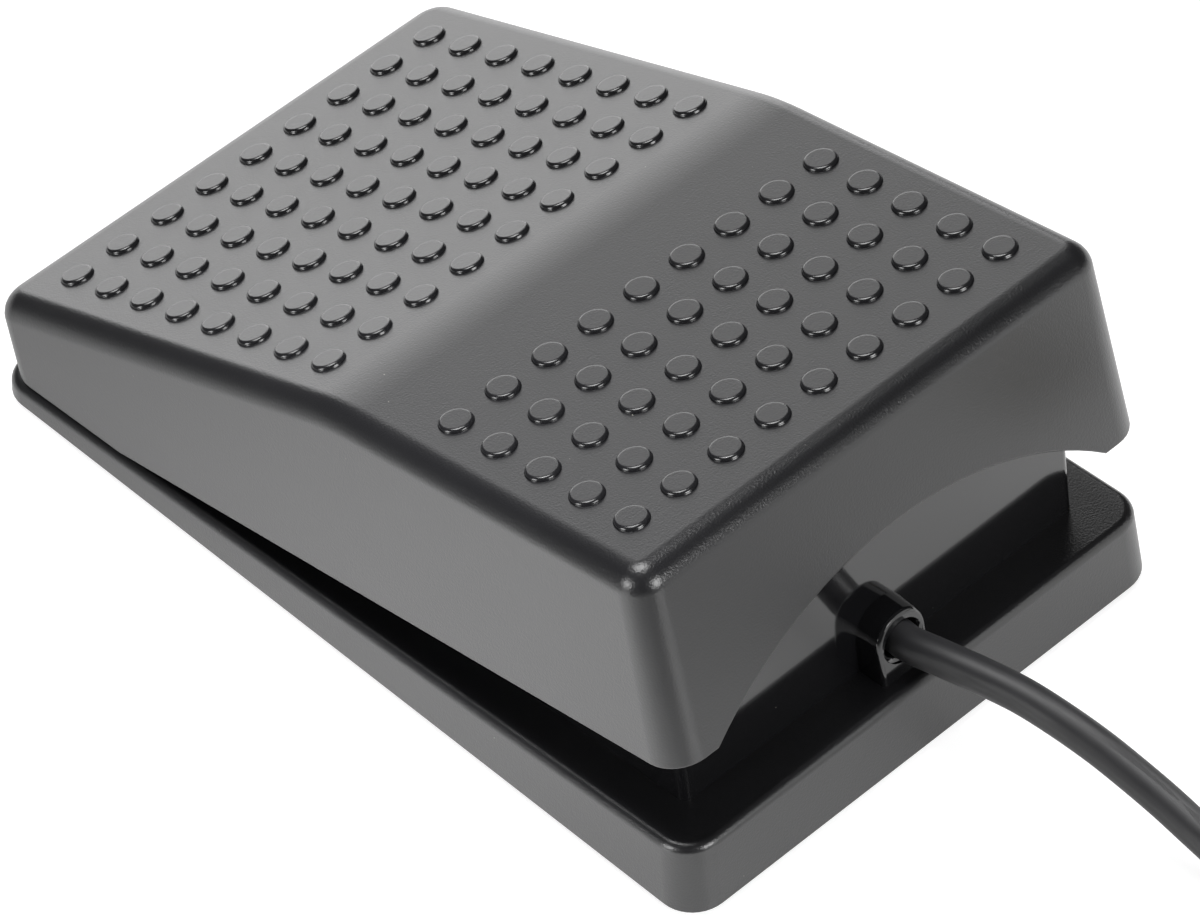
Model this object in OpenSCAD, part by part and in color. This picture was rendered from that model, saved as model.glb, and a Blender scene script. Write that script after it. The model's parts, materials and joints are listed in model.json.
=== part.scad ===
// Foot pedal switch with a USB lead: a sprung two-slope pedal over a wedge shaped base.
// Origin under the middle of the base, on the floor. +Y is the cable end, +X a long side, +Z up.

/* [Base] */
// How far the base stands out past the pedal's rim on each long side
base_ledge = 0.5; // [0.2:0.1:4]
// Length of the base at the floor
base_l = 103.4; // [98:0.2:125]
// Corner radius of the base at the floor
base_r = 4; // [2.5:0.1:8]
// Lean of the base's sides in degrees
base_draft = 4; // [0:0.5:8]
// Height of the base's flange at the pivot end
base_low = 2.3; // [1.8:0.1:4]
// Height of the base's flange at the cable end
base_high = 8.7; // [6:0.1:10]
// Rounding of the flange's top edge
base_fillet = 1; // [0.4:0.1:1.5]
// How far the rubber feet stand below the base
foot_proud = 0.8; // [0.4:0.1:2]
// Length of a rubber foot
foot_l = 14; // [8:0.5:20]
// Width of a rubber foot
foot_w = 4; // [2.5:0.1:4.6]
// Depth of a foot's recess in the base
foot_sunk = 0.8; // [0.4:0.1:1]

/* [Inner box] */
// Width of the raised box inside the pedal
box_w = 52.6; // [50:0.2:64]
// Place of the box's cable end wall
box_back = 45.1; // [42:0.1:46]
// Place of the box's pivot end wall
box_front = -26; // [-27:0.1:-25]
// Place of the step between the low and the high deck
box_step = 8; // [7:0.1:12]
// Height of the low deck above the base's underside
low_deck = 16.5; // [16:0.1:17]
// Height of the high deck above the base's underside
high_deck = 25; // [20:0.1:25.5]
// Wall of the box
box_wall = 2; // [1.4:0.1:2.4]
// Thickness of the bottom plate
plate_t = 2; // [1.4:0.1:2.4]
// Ledge that the bottom plate lies on, beside the box's hollow
plate_ledge = 1.4; // [0.8:0.1:2]
// Clearance round pieces that drop into a recess
seat_gap = 0.15; // [0.05:0.05:0.3]

/* [Pedal] */
// Gap between the box's sides and the pedal's walls at the rim
pedal_gap = 2.8; // [2.5:0.1:6]
// Length of the pedal at its rim
pedal_l = 102.5; // [100:0.1:106]
// Height of the rear slope above the rim
pedal_h = 23; // [21:0.1:26]
// Wall of the pedal
pedal_wall = 2.2; // [1.6:0.1:2.6]
// Corner radius of the pedal at its rim
pedal_r = 3.8; // [3:0.1:6]
// Rounding of the pedal's top edges
pedal_edge = 2.2; // [1:0.1:2.8]
// Lean of the pedal's long sides in degrees
side_draft = 2.7; // [0:0.1:4]
// Lean of the pedal's end walls in degrees
end_draft = 0.5; // [0:0.1:2]
// Tilt of the pedal's rim at rest in degrees
rim_tilt = 11; // [10.8:0.1:13]
// Place of the rim's cable end
rim_back = 50.7; // [50:0.1:52]
// Height of the rim's cable end above the base's underside
rim_rise = 19.9; // [19.6:0.1:24]
// From the rim's cable end to the ridge between the slopes
ridge_back = 45; // [40:0.5:50]
// Angle between the two slopes in degrees
slope_step = 11; // [8:0.1:12]
// Radius of the bend between the slopes
bend_r = 35; // [20:1:80]
// Height of the arch in the cable end wall
arch_h = 9.8; // [8:0.1:12]
// Radius of the arch
arch_r = 39; // [36:0.5:42]
// Gap between the pedal's skirt and the flange at rest
rest_gap = 0.3; // [0.2:0.05:0.5]

/* [Grip dots] */
// Diameter of a dot at its foot
dot_d = 3.6; // [2.5:0.1:4.5]
// Height of a dot
dot_h = 0.65; // [0.4:0.05:1.2]
// Width of a dot's rounded rim
dot_rim = 0.45; // [0.2:0.05:0.9]
// Spacing of the dots across the pedal
dot_pitch_x = 6; // [5:0.05:6.2]
// Spacing of the dots along the pedal
dot_pitch_y = 6.25; // [5:0.05:6.4]
// Dots across the pedal
dots_across = 9; // [3:2:9]
// Most rows of dots on the front slope
front_rows = 8; // [1:1:8]
// Most rows of dots on the rear slope
rear_rows = 5; // [1:1:5]
// Least distance from a slope's end or the ridge to the middle of a dot
dot_margin = 6; // [4:0.1:7]
// From the ridge to the nearest row on the front slope
front_row_gap = 7.3; // [5:0.1:9]
// From the rim's cable end to the nearest row on the rear slope
rear_row_gap = 7.7; // [6:0.1:10]

/* [Pivot] */
// Place of the pivot along the base
pivot_y = -32; // [-33:0.1:-31.8]
// Height of the pivot above the base's underside
pivot_rise = 7.6; // [7.4:0.1:9]
// Diameter of the pivot pin
pin_d = 3; // [2:0.1:3.2]
// Outer radius of the knuckles and ears
ear_r = 3.6; // [3.2:0.1:3.6]
// Thickness of a base knuckle
knuckle_t = 3.5; // [2.5:0.1:4.5]
// Inner face of a base knuckle from the middle
knuckle_x = 17; // [12:0.1:17.2]
// Thickness of a pedal ear
ear_t = 3; // [2:0.1:3.4]
// Outer diameter of a pivot bush
bush_d = 4.8; // [4.4:0.1:5.2]
// Thickness of a bush's flange
bush_flange = 0.6; // [0.4:0.1:0.8]
// Radial clearance of the pin in its bushes
pin_gap = 0.05; // [0.02:0.01:0.09]
// Side clearance between pieces that turn past each other
side_gap = 0.4; // [0.3:0.05:0.6]
// Outer diameter of a retaining clip
clip_d = 6; // [5:0.1:7]
// Thickness of a retaining clip
clip_t = 0.8; // [0.5:0.1:1]

/* [Springs and stops] */
// Mean diameter of a return spring
spring_d = 8; // [7:0.1:9]
// Wire of a return spring
wire_d = 1; // [0.6:0.1:1.2]
// Turns of a return spring
spring_turns = 5; // [4:1:5]
// Return springs from the middle
spring_x = 16; // [14:0.1:18]
// Place of the return springs along the base
spring_y = -2.5; // [-4:0.1:-2]
// Length of a return spring at rest
spring_l = 10.8; // [10:0.1:11]
// Height of the posts that centre the springs
spring_post_h = 2.4; // [1.5:0.1:3]
// Diameter of a bump stop
stop_d = 8; // [5:0.1:9]
// Height of a bump stop
stop_h = 2; // [1:0.1:2.6]
// Bump stops from the middle
stop_x = 16; // [10:0.1:18]
// Place of the bump stops along the base
stop_y = 37; // [30:0.1:38]
// Bottom of the stop ribs above the bump stops at rest
stop_travel = 9.1; // [8.9:0.1:9.6]

/* [Snap switch] */
// Length of the switch case
switch_l = 12.8; // [12:0.1:13]
// Width of the switch case
switch_w = 5.8; // [5.4:0.1:6.4]
// Height of the switch case
switch_h = 6.5; // [6:0.1:6.5]
// Place of the switch's middle
switch_y = -14.5; // [-15:0.1:-14]
// Lever's hinge in from the end of the case
lever_in = 0.9; // [0.8:0.1:1.2]
// Lever's hinge above the case
lever_up = 1; // [1:0.05:1.3]
// Slope of the lever at rest in degrees
lever_tilt = 10; // [9:0.5:11]
// Length of the lever from its hinge
lever_l = 13; // [12:0.1:14]
// Width of the lever
lever_w = 3.6; // [3:0.1:3.8]
// Thickness of the lever
lever_t = 0.4; // [0.3:0.05:0.5]
// Plunger's place from the lever's hinge
plunger_arm = 4.8; // [4.5:0.1:5.5]
// Diameter of the plunger
plunger_d = 1.6; // [1.2:0.1:2]
// Actuator rib's place from the lever's hinge
push_arm = 10.4; // [10:0.1:11]
// Clearance between the moving pieces of the switch
touch_gap = 0.32; // [0.3:0.02:0.4]

/* [Circuit board] */
// Width of the board
board_w = 34; // [32:0.5:34]
// Length of the board
board_l = 44; // [40:0.5:44]
// Place of the board's middle
board_y = 0; // [-1:0.1:1]
// Thickness of the board
board_t = 1.6; // [1:0.1:1.6]
// Underside of the board above the base's underside
board_rise = 7.6; // [7.2:0.1:7.6]
// Board screws from the middle across
board_screw_x = 13.5; // [12:0.1:14]
// Board screws from the board's middle along it
board_screw_y = 18; // [16:0.1:18.5]

/* [Cable] */
// Diameter of the cable
cable_d = 3.7; // [3:0.1:3.8]
// Height of the cable's exit above the base's underside
exit_rise = 12.6; // [12.4:0.1:12.8]
// Outer radius of the cable boss
boss_r = 3.2; // [2.8:0.1:4]
// How far the cable boss stands out of the box's wall
boss_l = 3.4; // [2:0.1:4]
// Clearance between the cable and the boss
cable_gap = 0.25; // [0.1:0.05:0.4]
// Turns of the put-away coil
coil_turns = 13; // [9:4:13]
// Diameter of the coil at the middle of its turns
coil_mid = 41; // [40:0.5:44]
// Gap between neighbouring turns of the coil
coil_gap = 0.5; // [0.45:0.05:0.8]
// Thickness of the tie round the coil
tie_t = 0.8; // [0.5:0.1:0.9]
// Width of the tie round the coil
tie_w = 5; // [3:0.5:6]

/* [Plug] */
// Width of the plug's overmould
plug_w = 15.6; // [14:0.1:16]
// Thickness of the plug's overmould
plug_t = 7.6; // [7:0.1:9]
// Length of the plug's overmould
plug_l = 22; // [18:0.5:26]
// Length of the plug's strain relief
relief_l = 9; // [6:0.5:12]
// Width of the plug's metal shell
shell_w = 12; // [11.9:0.05:12.1]
// Thickness of the plug's metal shell
shell_t = 4.5; // [4.45:0.05:4.55]
// Length of the plug's metal shell
shell_l = 18.75; // [18.7:0.05:19]
// Sheet of the plug's metal shell
sheet_t = 0.3; // [0.2:0.05:0.4]

/* [Hidden] */
$fn = 48;
FINE = 32;
EPS = 0.01;
SIDES = [-1, 1];

// The pedal fits over the box, and the base stands out past the pedal
pedal_w = box_w + 2 * (pedal_gap + pedal_wall);
base_w = pedal_w + 2 * base_ledge;

// Heights of the base and its decks
floor_z = foot_proud;
flange_slope = atan((base_high - base_low) / base_l);
low_z = floor_z + low_deck;
high_z = floor_z + high_deck;
plate_top = floor_z + plate_t;
function flange_z(y) = floor_z + base_low + (y + base_l / 2) * tan(flange_slope);

// Feet sit in the strip between the bottom plate and the base's edge
hollow_w = box_w - 2 * box_wall;
plate_w = hollow_w + 2 * plate_ledge;
plate_front = box_front + box_wall - plate_ledge;
plate_back = box_back - box_wall + plate_ledge;
foot_x = (plate_w / 2 + base_w / 2) / 2;
foot_margin = 2.5;
foot_y = base_l / 2 - foot_l / 2 - base_r - foot_margin;

// Screws: three sizes share one form
plate_screw_r = 1.2;
plate_screw_l = 9;
plate_post_r = 3;
post_gap = 0.3;
plate_screw_x = hollow_w / 2 - plate_post_r - post_gap;
plate_screw_front = box_front + box_wall + plate_post_r + post_gap;
plate_screw_back = box_back - box_wall - plate_post_r - post_gap;
small_screw_r = 0.9;
small_screw_l = 4.5;
small_post_r = 2.3;
head_ratio = 2;
head_h_ratio = 0.95;
plate_head_r = plate_screw_r * head_ratio;
small_head_h = small_screw_r * head_h_ratio;
screw_slack = 0.25;
screw_short = 0.5;

// Pedal: outline in the rim's own frame, y back from the cable end, z up from the rim
rim_z = floor_z + rim_rise;
bend_flats = 5;
bend_y = -ridge_back + bend_r * tan(slope_step / 2);
bend_z = pedal_h - bend_r;
inner_edge = 0.6;
middle_edge = 1.2;
function rows_that_fit(run, first, most) = min(most, 1 + floor((run - first - dot_margin) / dot_pitch_y));
front_rows_fit = rows_that_fit(pedal_l - ridge_back, front_row_gap, front_rows);
rear_rows_fit = rows_that_fit(ridge_back, rear_row_gap, rear_rows);

// Pivot and what turns on it
pivot_z = floor_z + pivot_rise;
knuckle_out = knuckle_x + knuckle_t;
ear_x = knuckle_out + side_gap + bush_flange;
ear_out = ear_x + ear_t;
clip_x = ear_out + side_gap;
pin_l = 2 * (clip_x + clip_t + 0.6);

// Springs, stops and switch
spring_seat_r = spring_d / 2 + wire_d / 2 + 0.8;
spring_post_r = spring_d / 2 - wire_d / 2 - 0.4;
spring_seat_z = low_z + spring_l;
rib_z = high_z + stop_h + stop_travel;
board_z = floor_z + board_rise;
board_top = board_z + board_t;
case_top = board_top + switch_h;
lever_y = switch_y + switch_l / 2 - lever_in;
lever_z = case_top + lever_up;
knuckle_r = 0.7;
lever_pin_r = 0.4;
lever_pin_gap = 0.05;
cheek_t = 0.5;
cheek_gap = 0.2;
plunger_y = lever_y - plunger_arm;
plunger_top = lever_z + plunger_arm * tan(lever_tilt) - lever_t / 2 / cos(lever_tilt) - touch_gap;
plunger_sunk = 2;
plunger_travel = 1;
plunger_gap = 0.05;
push_y = lever_y - push_arm;
push_z = lever_z + push_arm * tan(lever_tilt) + lever_t / 2 / cos(lever_tilt) + touch_gap;
push_r = 1.5;
push_w = 6;
window_gap = 1.2;

// Cable, clamp and header inside the box
exit_z = floor_z + exit_rise;
boss_y = box_back + boss_l;
inner_start = box_back - 12;
inner_end = boss_y - 1;
clamp_in = 7;
clamp_y = box_back - clamp_in;
clamp_l = 5;
clamp_t = 2.4;
clamp_z = exit_z - cable_d / 2;
saddle_z = exit_z + cable_d / 2 + 0.1;
clamp_screw_x = cable_d / 2 + small_post_r + 0.5;
header_w = 10;
header_l = 6;
header_h = 4.6;
header_wall = 0.8;
header_inside = header_wall + 0.15;
header_out = 1.5;
header_y = board_y + board_l / 2 - header_l / 2;
header_end = header_y + header_l / 2 + header_inside + header_out;
lead_r = 0.55;
lead_pitch = 2;
lead_spread = 0.85;

// Small parts on the board: sizes, and places from the board's middle
chip_at = [8, 4];
chip_size = [4, 10, 1.5];
chip_lift = 0.15;
leg_pitch = 1.27;
leg_l = 1;
leg_t = 0.4;
crystal_at = [-9, 4];
crystal_size = [3.6, 10, 3.4];
capacitor_d = 4;
capacitor_h = 4.2;
capacitor_y = [-2, 8];
resistor_size = [1.2, 2, 0.6];
resistor_at = [-14.5, -10];
resistor_pitch = 4;
switch_pin = [0.8, 0.5, 1.8];
switch_pin_pitch = 5;

// Put-away coil: four layers, in, out, in, out
coil_layers = 4;
layer_turns = coil_turns / coil_layers;
coil_step = cable_d + coil_gap;
coil_outer = coil_mid / 2 + layer_turns * coil_step / 2;
coil_inner = coil_mid / 2 - layer_turns * coil_step / 2;
coil_z = tie_t + 0.2 + cable_d / 2;
coil_top = coil_z + (coil_layers - 1) * coil_step;
coil_rings = 24;
coil_at = [-34.3, 110];
tie_gap = 0.5;
plug_z = coil_top + cable_d / 2 + plug_t / 2;
plug_y = coil_at.y + 8;
relief_r = [cable_d / 2 + 0.6, plug_t / 2 - 0.3];
tongue_t = 1.9;
contact_t = 0.2;

// Free stretch of cable from the boss to the coil
cable_route = [
    [0, inner_end, exit_z], [0, 49.5, 13.4], [-0.6, 52, 13.4], [-1.4, 55, 13.3], [-2.3, 58, 13],
    [-3.2, 61.5, 12.6], [-4, 65.5, 11.8], [-4.8, 69.5, 10.6], [-5.4, 73, 9.3], [-6, 77, 7.7],
    [-6.4, 81, 6.1], [-6.7, 86, 4.5], [-6.8, 91, 3.5], [-6.9, 96, 3], [-7, 101, 2.9],
    [coil_at.x + coil_outer, coil_at.y - 2 * cable_d, coil_z],
    [coil_at.x + coil_outer, coil_at.y - cable_d, coil_z]
];

// Tail from the top of the coil to the plug that lies on it, from the coil's middle
tail_turn = [
    [27.2, 7.5, 15.6], [26.2, 13, 16.4], [22.6, 18, 18], [17.4, 20.9, 19.8], [11.4, 21.3, 20.9],
    [5.8, 19.4, 21.2], [1.8, 16, 21.2]
];
tail_route = concat(
    [[coil_at.x + coil_outer, coil_at.y + cable_d, coil_top]],
    [for (p = tail_turn) [coil_at.x + p.x, coil_at.y + p.y, p.z]],
    [[coil_at.x, plug_y + cable_d, plug_z], [coil_at.x, plug_y, plug_z]]
);

// Tubes along points: one ring of corners at each point, triangle faces, flat ends
function unit(v) = v / norm(v);
function heading(p, i) = unit(p[min(i + 1, len(p) - 1)] - p[max(i - 1, 0)]);
function ring(c, t, r, n) =
    let (u = unit(cross(t, [0, 0, 1])), v = cross(u, t))
    [for (k = [0:n - 1]) c + r * (cos(360 * k / n) * u + sin(360 * k / n) * v)];
function tube_points(p, r, n) = [for (i = [0:len(p) - 1]) each ring(p[i], heading(p, i), r, n)];
function tube_sides(m, n) = [
    for (i = [0:m - 2], k = [0:n - 1])
        let (a = i * n + k, b = i * n + (k + 1) % n)
        each [[a, b, b + n], [a, b + n, a + n]]
];
function tube_ends(m, n) = [
    for (k = [1:n - 2], e = [0, (m - 1) * n])
        e == 0 ? [0, k + 1, k] : [e, e + k, e + k + 1]
];

module tube(p, r, n) {
    polyhedron(tube_points(p, r, n), concat(tube_sides(len(p), n), tube_ends(len(p), n)));
}

// Least distance between a tube's surface and itself, on its centre points more than skip apart
function least_gap(p, skip, d) =
    min([for (i = [0:len(p) - 1 - skip], j = [i + skip:len(p) - 1]) norm(p[i] - p[j])]) - d;

// Coil: radius swings between outer and inner, height steps up where it reverses
function ease(x) = let (s = min(max(x, 0), 1)) s * s * (3 - 2 * s);
function coil_radius(t) =
    let (k = floor(t / layer_turns), s = t / layer_turns - k)
    k % 2 == 0 ? coil_outer + (coil_inner - coil_outer) * s : coil_inner + (coil_outer - coil_inner) * s;
function climbs(t) = ease((t - layer_turns + 0.25) / 0.5) + ease((t - 2 * layer_turns + 0.25) / 0.5)
    + ease((t - 3 * layer_turns + 0.25) / 0.5);
function coil_point(t) = [
    coil_at.x + coil_radius(t) * cos(360 * t), coil_at.y + coil_radius(t) * sin(360 * t),
    coil_z + coil_step * climbs(t)
];
coil_path = concat(
    [[coil_at.x + coil_outer, coil_at.y - cable_d, coil_z]],
    [for (i = [0:coil_turns * coil_rings]) coil_point(i / coil_rings)],
    [[coil_at.x + coil_outer, coil_at.y + cable_d, coil_top]]
);
echo(coil_gap_mm = least_gap(coil_path, coil_rings / 2, cable_d));

// Spring: close end turns, even turns between them
spring_rings = 12;
end_pitch = wire_d + 0.42;
function spring_rise(t) =
    let (open = (spring_l - wire_d - 2 * EPS - 2 * end_pitch) / (spring_turns - 2))
    t < 1 ? end_pitch * t
    : t > spring_turns - 1 ? end_pitch + open * (spring_turns - 2) + end_pitch * (t - spring_turns + 1)
    : end_pitch + open * (t - 1);
function spring_path(x) = [
    for (i = [0:spring_turns * spring_rings])
        let (t = i / spring_rings)
        [x + spring_d / 2 * cos(360 * t), spring_y + spring_d / 2 * sin(360 * t),
         low_z + wire_d / 2 + EPS + spring_rise(t)]
];
echo(spring_gap_mm = least_gap(spring_path(0), spring_rings / 2, wire_d));

// Shared shapes
module rounded_rect(w, l, r) {
    square([w - 2 * r, l], center = true);
    square([w, l - 2 * r], center = true);
    for (x = SIDES, y = SIDES) translate([x * (w / 2 - r), y * (l / 2 - r)]) circle(r);
}

// Disc with its top at z = 0 and a rounded top edge
module edge_disc(r, f) {
    rotate_extrude($fn = FINE)
        polygon(concat([[0, -f]], [for (a = [0:15:90]) [r - f + f * cos(a), -f + f * sin(a)]], [[0, 0]]));
}

module screw(r, l) {
    difference() {
        union() {
            cylinder(r = r * head_ratio, h = r * head_h_ratio);
            translate([0, 0, r * head_h_ratio - EPS]) cylinder(r = r, h = l);
        }
        for (a = [0, 90])
            rotate(a) translate([0, 0, r * 0.2]) cube([r * 2.2, r * 0.5, r], center = true);
    }
}

// Profile across the pivot, drawn as y and z, pushed out along x
module across(x, t) {
    translate([x, 0, 0]) rotate([90, 0, 90]) linear_extrude(t) children();
}

module pedal_frame() {
    translate([0, rim_back, rim_z]) rotate([rim_tilt, 0, 0]) children();
}

// Pedal's form drawn in by inset, from the given height above the rim, its bend in so many flats
module pedal_form(inset, edge, bottom, flats) {
    top = pedal_h - inset;
    re = edge + 0.05;
    rt = max(re, pedal_r - inset - 0.6);
    rc = max(re, pedal_r - inset);
    arc = bend_r - inset;
    end_y = -pedal_l + inset + rt;
    end_z = bend_z + arc * cos(slope_step) + (end_y - bend_y + arc * sin(slope_step)) * tan(slope_step);
    function side(z) = pedal_w / 2 - inset - z * tan(side_draft);
    hull() for (x = SIDES) {
        translate([x * (side(bottom) - rc), -inset - rc, bottom]) cylinder(r = rc, h = EPS, $fn = FINE);
        translate([x * (side(bottom) - rc), -pedal_l + inset + rc, bottom])
            cylinder(r = rc, h = EPS, $fn = FINE);
        translate([x * (side(top) - rt), -inset - rt - top * tan(end_draft), top]) edge_disc(rt, edge);
        for (i = [0:flats]) {
            a = slope_step * i / flats;
            z = bend_z + arc * cos(a);
            translate([x * (side(z) - re), bend_y - arc * sin(a), z])
                rotate([a, 0, 0]) edge_disc(re, edge);
        }
        translate([x * (side(end_z) - rt), end_y + end_z * tan(end_draft), end_z])
            rotate([slope_step, 0, 0]) edge_disc(rt, edge);
    }
}

// Everything below the flange, raised by lift
module below_flange(lift) {
    translate([0, 0, flange_z(0) + lift]) rotate([flange_slope, 0, 0])
        translate([-base_w, -base_l, -base_l]) cube([2 * base_w, 2 * base_l, base_l]);
}

// Base
module base_form() {
    hull() for (x = SIDES, y = SIDES) {
        h = y > 0 ? base_high : base_low;
        inset = h * tan(base_draft);
        rt = max(base_fillet + 0.1, base_r - inset);
        top_y = y * (base_l / 2 - inset - rt);
        translate([x * (base_w / 2 - base_r), y * (base_l / 2 - base_r), floor_z])
            cylinder(r = base_r, h = EPS, $fn = FINE);
        translate([x * (base_w / 2 - inset - rt), top_y, flange_z(top_y)])
            rotate([flange_slope, 0, 0]) edge_disc(rt, base_fillet);
    }
}

module box_block(front, back, top, inset, bottom) {
    translate([0, (front + back) / 2, bottom]) linear_extrude(top - bottom)
        rounded_rect(box_w - 2 * inset, back - front - 2 * inset, max(0.3, 1 - inset));
}

module plate_posts(r, bottom, top) {
    for (i = [1:4]) translate([plate_screw_at(i).x, plate_screw_at(i).y, bottom])
        cylinder(r = r, h = top - bottom);
}
function plate_screw_at(i) = [
    (i % 2 == 0 ? 1 : -1) * plate_screw_x, i < 3 ? plate_screw_front : plate_screw_back
];
function board_screw_at(i) = [
    (i % 2 == 0 ? 1 : -1) * board_screw_x, board_y + (i < 3 ? -1 : 1) * board_screw_y
];
function foot_at(i) = [(i % 2 == 0 ? 1 : -1) * foot_x, (i < 3 ? -1 : 1) * foot_y];

module knuckle_profile(r, hole_d, bottom) {
    difference() {
        union() {
            translate([pivot_y, pivot_z]) circle(r);
            translate([pivot_y - r, bottom]) square([2 * r, pivot_z - bottom]);
        }
        translate([pivot_y, pivot_z]) circle(d = hole_d);
    }
}

module cable_boss() {
    translate([0, boss_y, exit_z]) rotate([90, 0, 0]) cylinder(r = boss_r, h = boss_l + box_wall);
    translate([-boss_r, box_back - box_wall, flange_z(box_back) - 1])
        cube([2 * boss_r, boss_l + box_wall, exit_z - flange_z(box_back) + 1]);
}

module base_hollow() {
    box_block(box_front, box_back, low_z - box_wall, box_wall, floor_z - 1);
    box_block(box_step, box_back, high_z - box_wall, box_wall, plate_top);
    translate([0, (plate_front + plate_back) / 2, floor_z - 1]) linear_extrude(1 + plate_t)
        rounded_rect(plate_w + 2 * seat_gap, plate_back - plate_front + 2 * seat_gap, 1.5);
    for (i = [1:4]) translate([foot_at(i).x, foot_at(i).y, floor_z - 1]) linear_extrude(1 + foot_sunk)
        foot_outline(seat_gap);
}

module hanging_posts() {
    for (i = [1:4]) {
        deck = board_screw_at(i).y > box_step ? high_z : low_z;
        translate([board_screw_at(i).x, board_screw_at(i).y, board_top])
            cylinder(r = small_post_r, h = deck - box_wall / 2 - board_top);
    }
    for (x = SIDES) translate([x * clamp_screw_x, clamp_y, clamp_z])
        cylinder(r = small_post_r, h = high_z - box_wall / 2 - clamp_z);
    translate([-clamp_screw_x, clamp_y - clamp_l / 2, saddle_z])
        cube([2 * clamp_screw_x, clamp_l, high_z - box_wall / 2 - saddle_z]);
}

module base_housing() {
    color("#2b2b2d") difference() {
        union() {
            difference() {
                union() {
                    base_form();
                    box_block(box_front, box_back, low_z, 0, floor_z + EPS);
                    box_block(box_step, box_back, high_z, 0, floor_z + EPS);
                    cable_boss();
                    for (x = SIDES)
                        across(x > 0 ? knuckle_x : -knuckle_out, knuckle_t)
                            knuckle_profile(ear_r, pin_d, floor_z + base_low / 2);
                }
                base_hollow();
            }
            intersection() {
                plate_posts(plate_post_r, plate_top, high_z);
                union() {
                    box_block(box_front, box_back, low_z - EPS, EPS, plate_top);
                    box_block(box_step, box_back, high_z - EPS, EPS, plate_top);
                }
            }
            hanging_posts();
            for (x = SIDES) translate([x * spring_x, spring_y, low_z - EPS])
                cylinder(r = spring_post_r, h = spring_post_h);
        }
        plate_posts(plate_screw_r, plate_top - 1, plate_top + plate_screw_l);
        for (i = [1:4]) translate([board_screw_at(i).x, board_screw_at(i).y, board_top - 1])
            cylinder(r = small_screw_r, h = 1 + small_screw_l);
        for (x = SIDES) translate([x * clamp_screw_x, clamp_y, clamp_z - 1])
            cylinder(r = small_screw_r, h = 1 + small_screw_l);
        translate([0, boss_y + 1, exit_z]) rotate([90, 0, 0])
            cylinder(r = cable_d / 2 + cable_gap, h = boss_l + box_wall + 2);
        translate([-switch_w / 2 - window_gap, lever_y - lever_l - window_gap, low_z - box_wall - 1])
            cube([switch_w + 2 * window_gap, lever_l + lever_in + 2 * window_gap, box_wall + 2]);
    }
}

module bottom_plate() {
    color("#232325") difference() {
        translate([0, (plate_front + plate_back) / 2, floor_z]) linear_extrude(plate_t)
            rounded_rect(plate_w, plate_back - plate_front, 1.5);
        plate_posts(plate_screw_r + screw_slack, floor_z - 1, plate_top + 1);
        plate_posts(plate_head_r + screw_slack, floor_z - 1, floor_z + head_h_ratio * plate_screw_r);
    }
}

module foot_outline(grow) {
    hold = foot_w / 2 + grow;
    square([2 * hold, foot_l - foot_w], center = true);
    for (y = SIDES) translate([0, y * (foot_l - foot_w) / 2]) circle(hold);
}
module rubber_foot(i) {
    color("#3a3a3a") translate([foot_at(i).x, foot_at(i).y, 0])
        linear_extrude(foot_proud + foot_sunk) foot_outline(0);
}
module plate_screw(i) {
    color("#b8b8bc") translate([plate_screw_at(i).x, plate_screw_at(i).y, floor_z])
        screw(plate_screw_r, plate_screw_l);
}
module board_screw(i) {
    at = board_screw_at(i);
    color("#b8b8bc") translate([at.x, at.y, board_z - small_head_h])
        screw(small_screw_r, small_screw_l + board_t - screw_short);
}
module clamp_screw(x) {
    color("#b8b8bc") translate([x * clamp_screw_x, clamp_y, clamp_z - clamp_t - small_head_h])
        screw(small_screw_r, small_screw_l + clamp_t - screw_short);
}

// Pivot
module pivot_pin() {
    color("#c4c4c8") translate([-pin_l / 2, pivot_y, pivot_z]) rotate([0, 90, 0])
        cylinder(d = pin_d, h = pin_l);
}
module pin_clip(x) {
    color("#8d8d92") translate([x > 0 ? clip_x : -clip_x - clip_t, pivot_y, pivot_z]) rotate([0, 90, 0])
        difference() {
            cylinder(d = clip_d, h = clip_t);
            translate([0, 0, -1]) cylinder(d = pin_d, h = clip_t + 2);
        }
}
module pivot_bush(x) {
    color("#e6e2d6") translate([x * (ear_x - bush_flange), pivot_y, pivot_z]) rotate([0, x * 90, 0])
        difference() {
            union() {
                cylinder(r = ear_r - 0.2, h = bush_flange);
                cylinder(d = bush_d, h = bush_flange + ear_t);
            }
            translate([0, 0, -1]) cylinder(d = pin_d + 2 * pin_gap, h = bush_flange + ear_t + 2);
        }
}

// Springs and stops
module return_spring(x) {
    color("#c9c9cc") tube(spring_path(x * spring_x), wire_d / 2, 6);
}
module bump_stop(x) {
    color("#4a4a4a") translate([x * stop_x, stop_y, high_z]) cylinder(d = stop_d, h = stop_h);
}

// Circuit board and what is on it
module circuit_board() {
    color("#1f6b3a") difference() {
        translate([0, board_y, board_z]) linear_extrude(board_t) rounded_rect(board_w, board_l, 1.5);
        for (i = [1:4]) translate([board_screw_at(i).x, board_screw_at(i).y, board_z - 1])
            cylinder(r = small_screw_r + screw_slack, h = board_t + 2);
    }
}
module controller_chip() {
    at = [chip_at.x, board_y + chip_at.y, board_top];
    color("#1a1a1c") translate(at + [0, 0, chip_size.z / 2 + chip_lift]) cube(chip_size, center = true);
    color("#c8c8cc") for (i = [-3:4], x = SIDES)
        translate(at + [x * (chip_size.x + leg_l) / 2, (i - 0.5) * leg_pitch, leg_t / 2])
            cube([leg_l, leg_t, leg_t], center = true);
}
module crystal() {
    color("#d0d0d4") translate([crystal_at.x, board_y + crystal_at.y, board_top])
        linear_extrude(crystal_size.z)
            rounded_rect(crystal_size.x, crystal_size.y, crystal_size.x / 2 - EPS);
}
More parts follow.
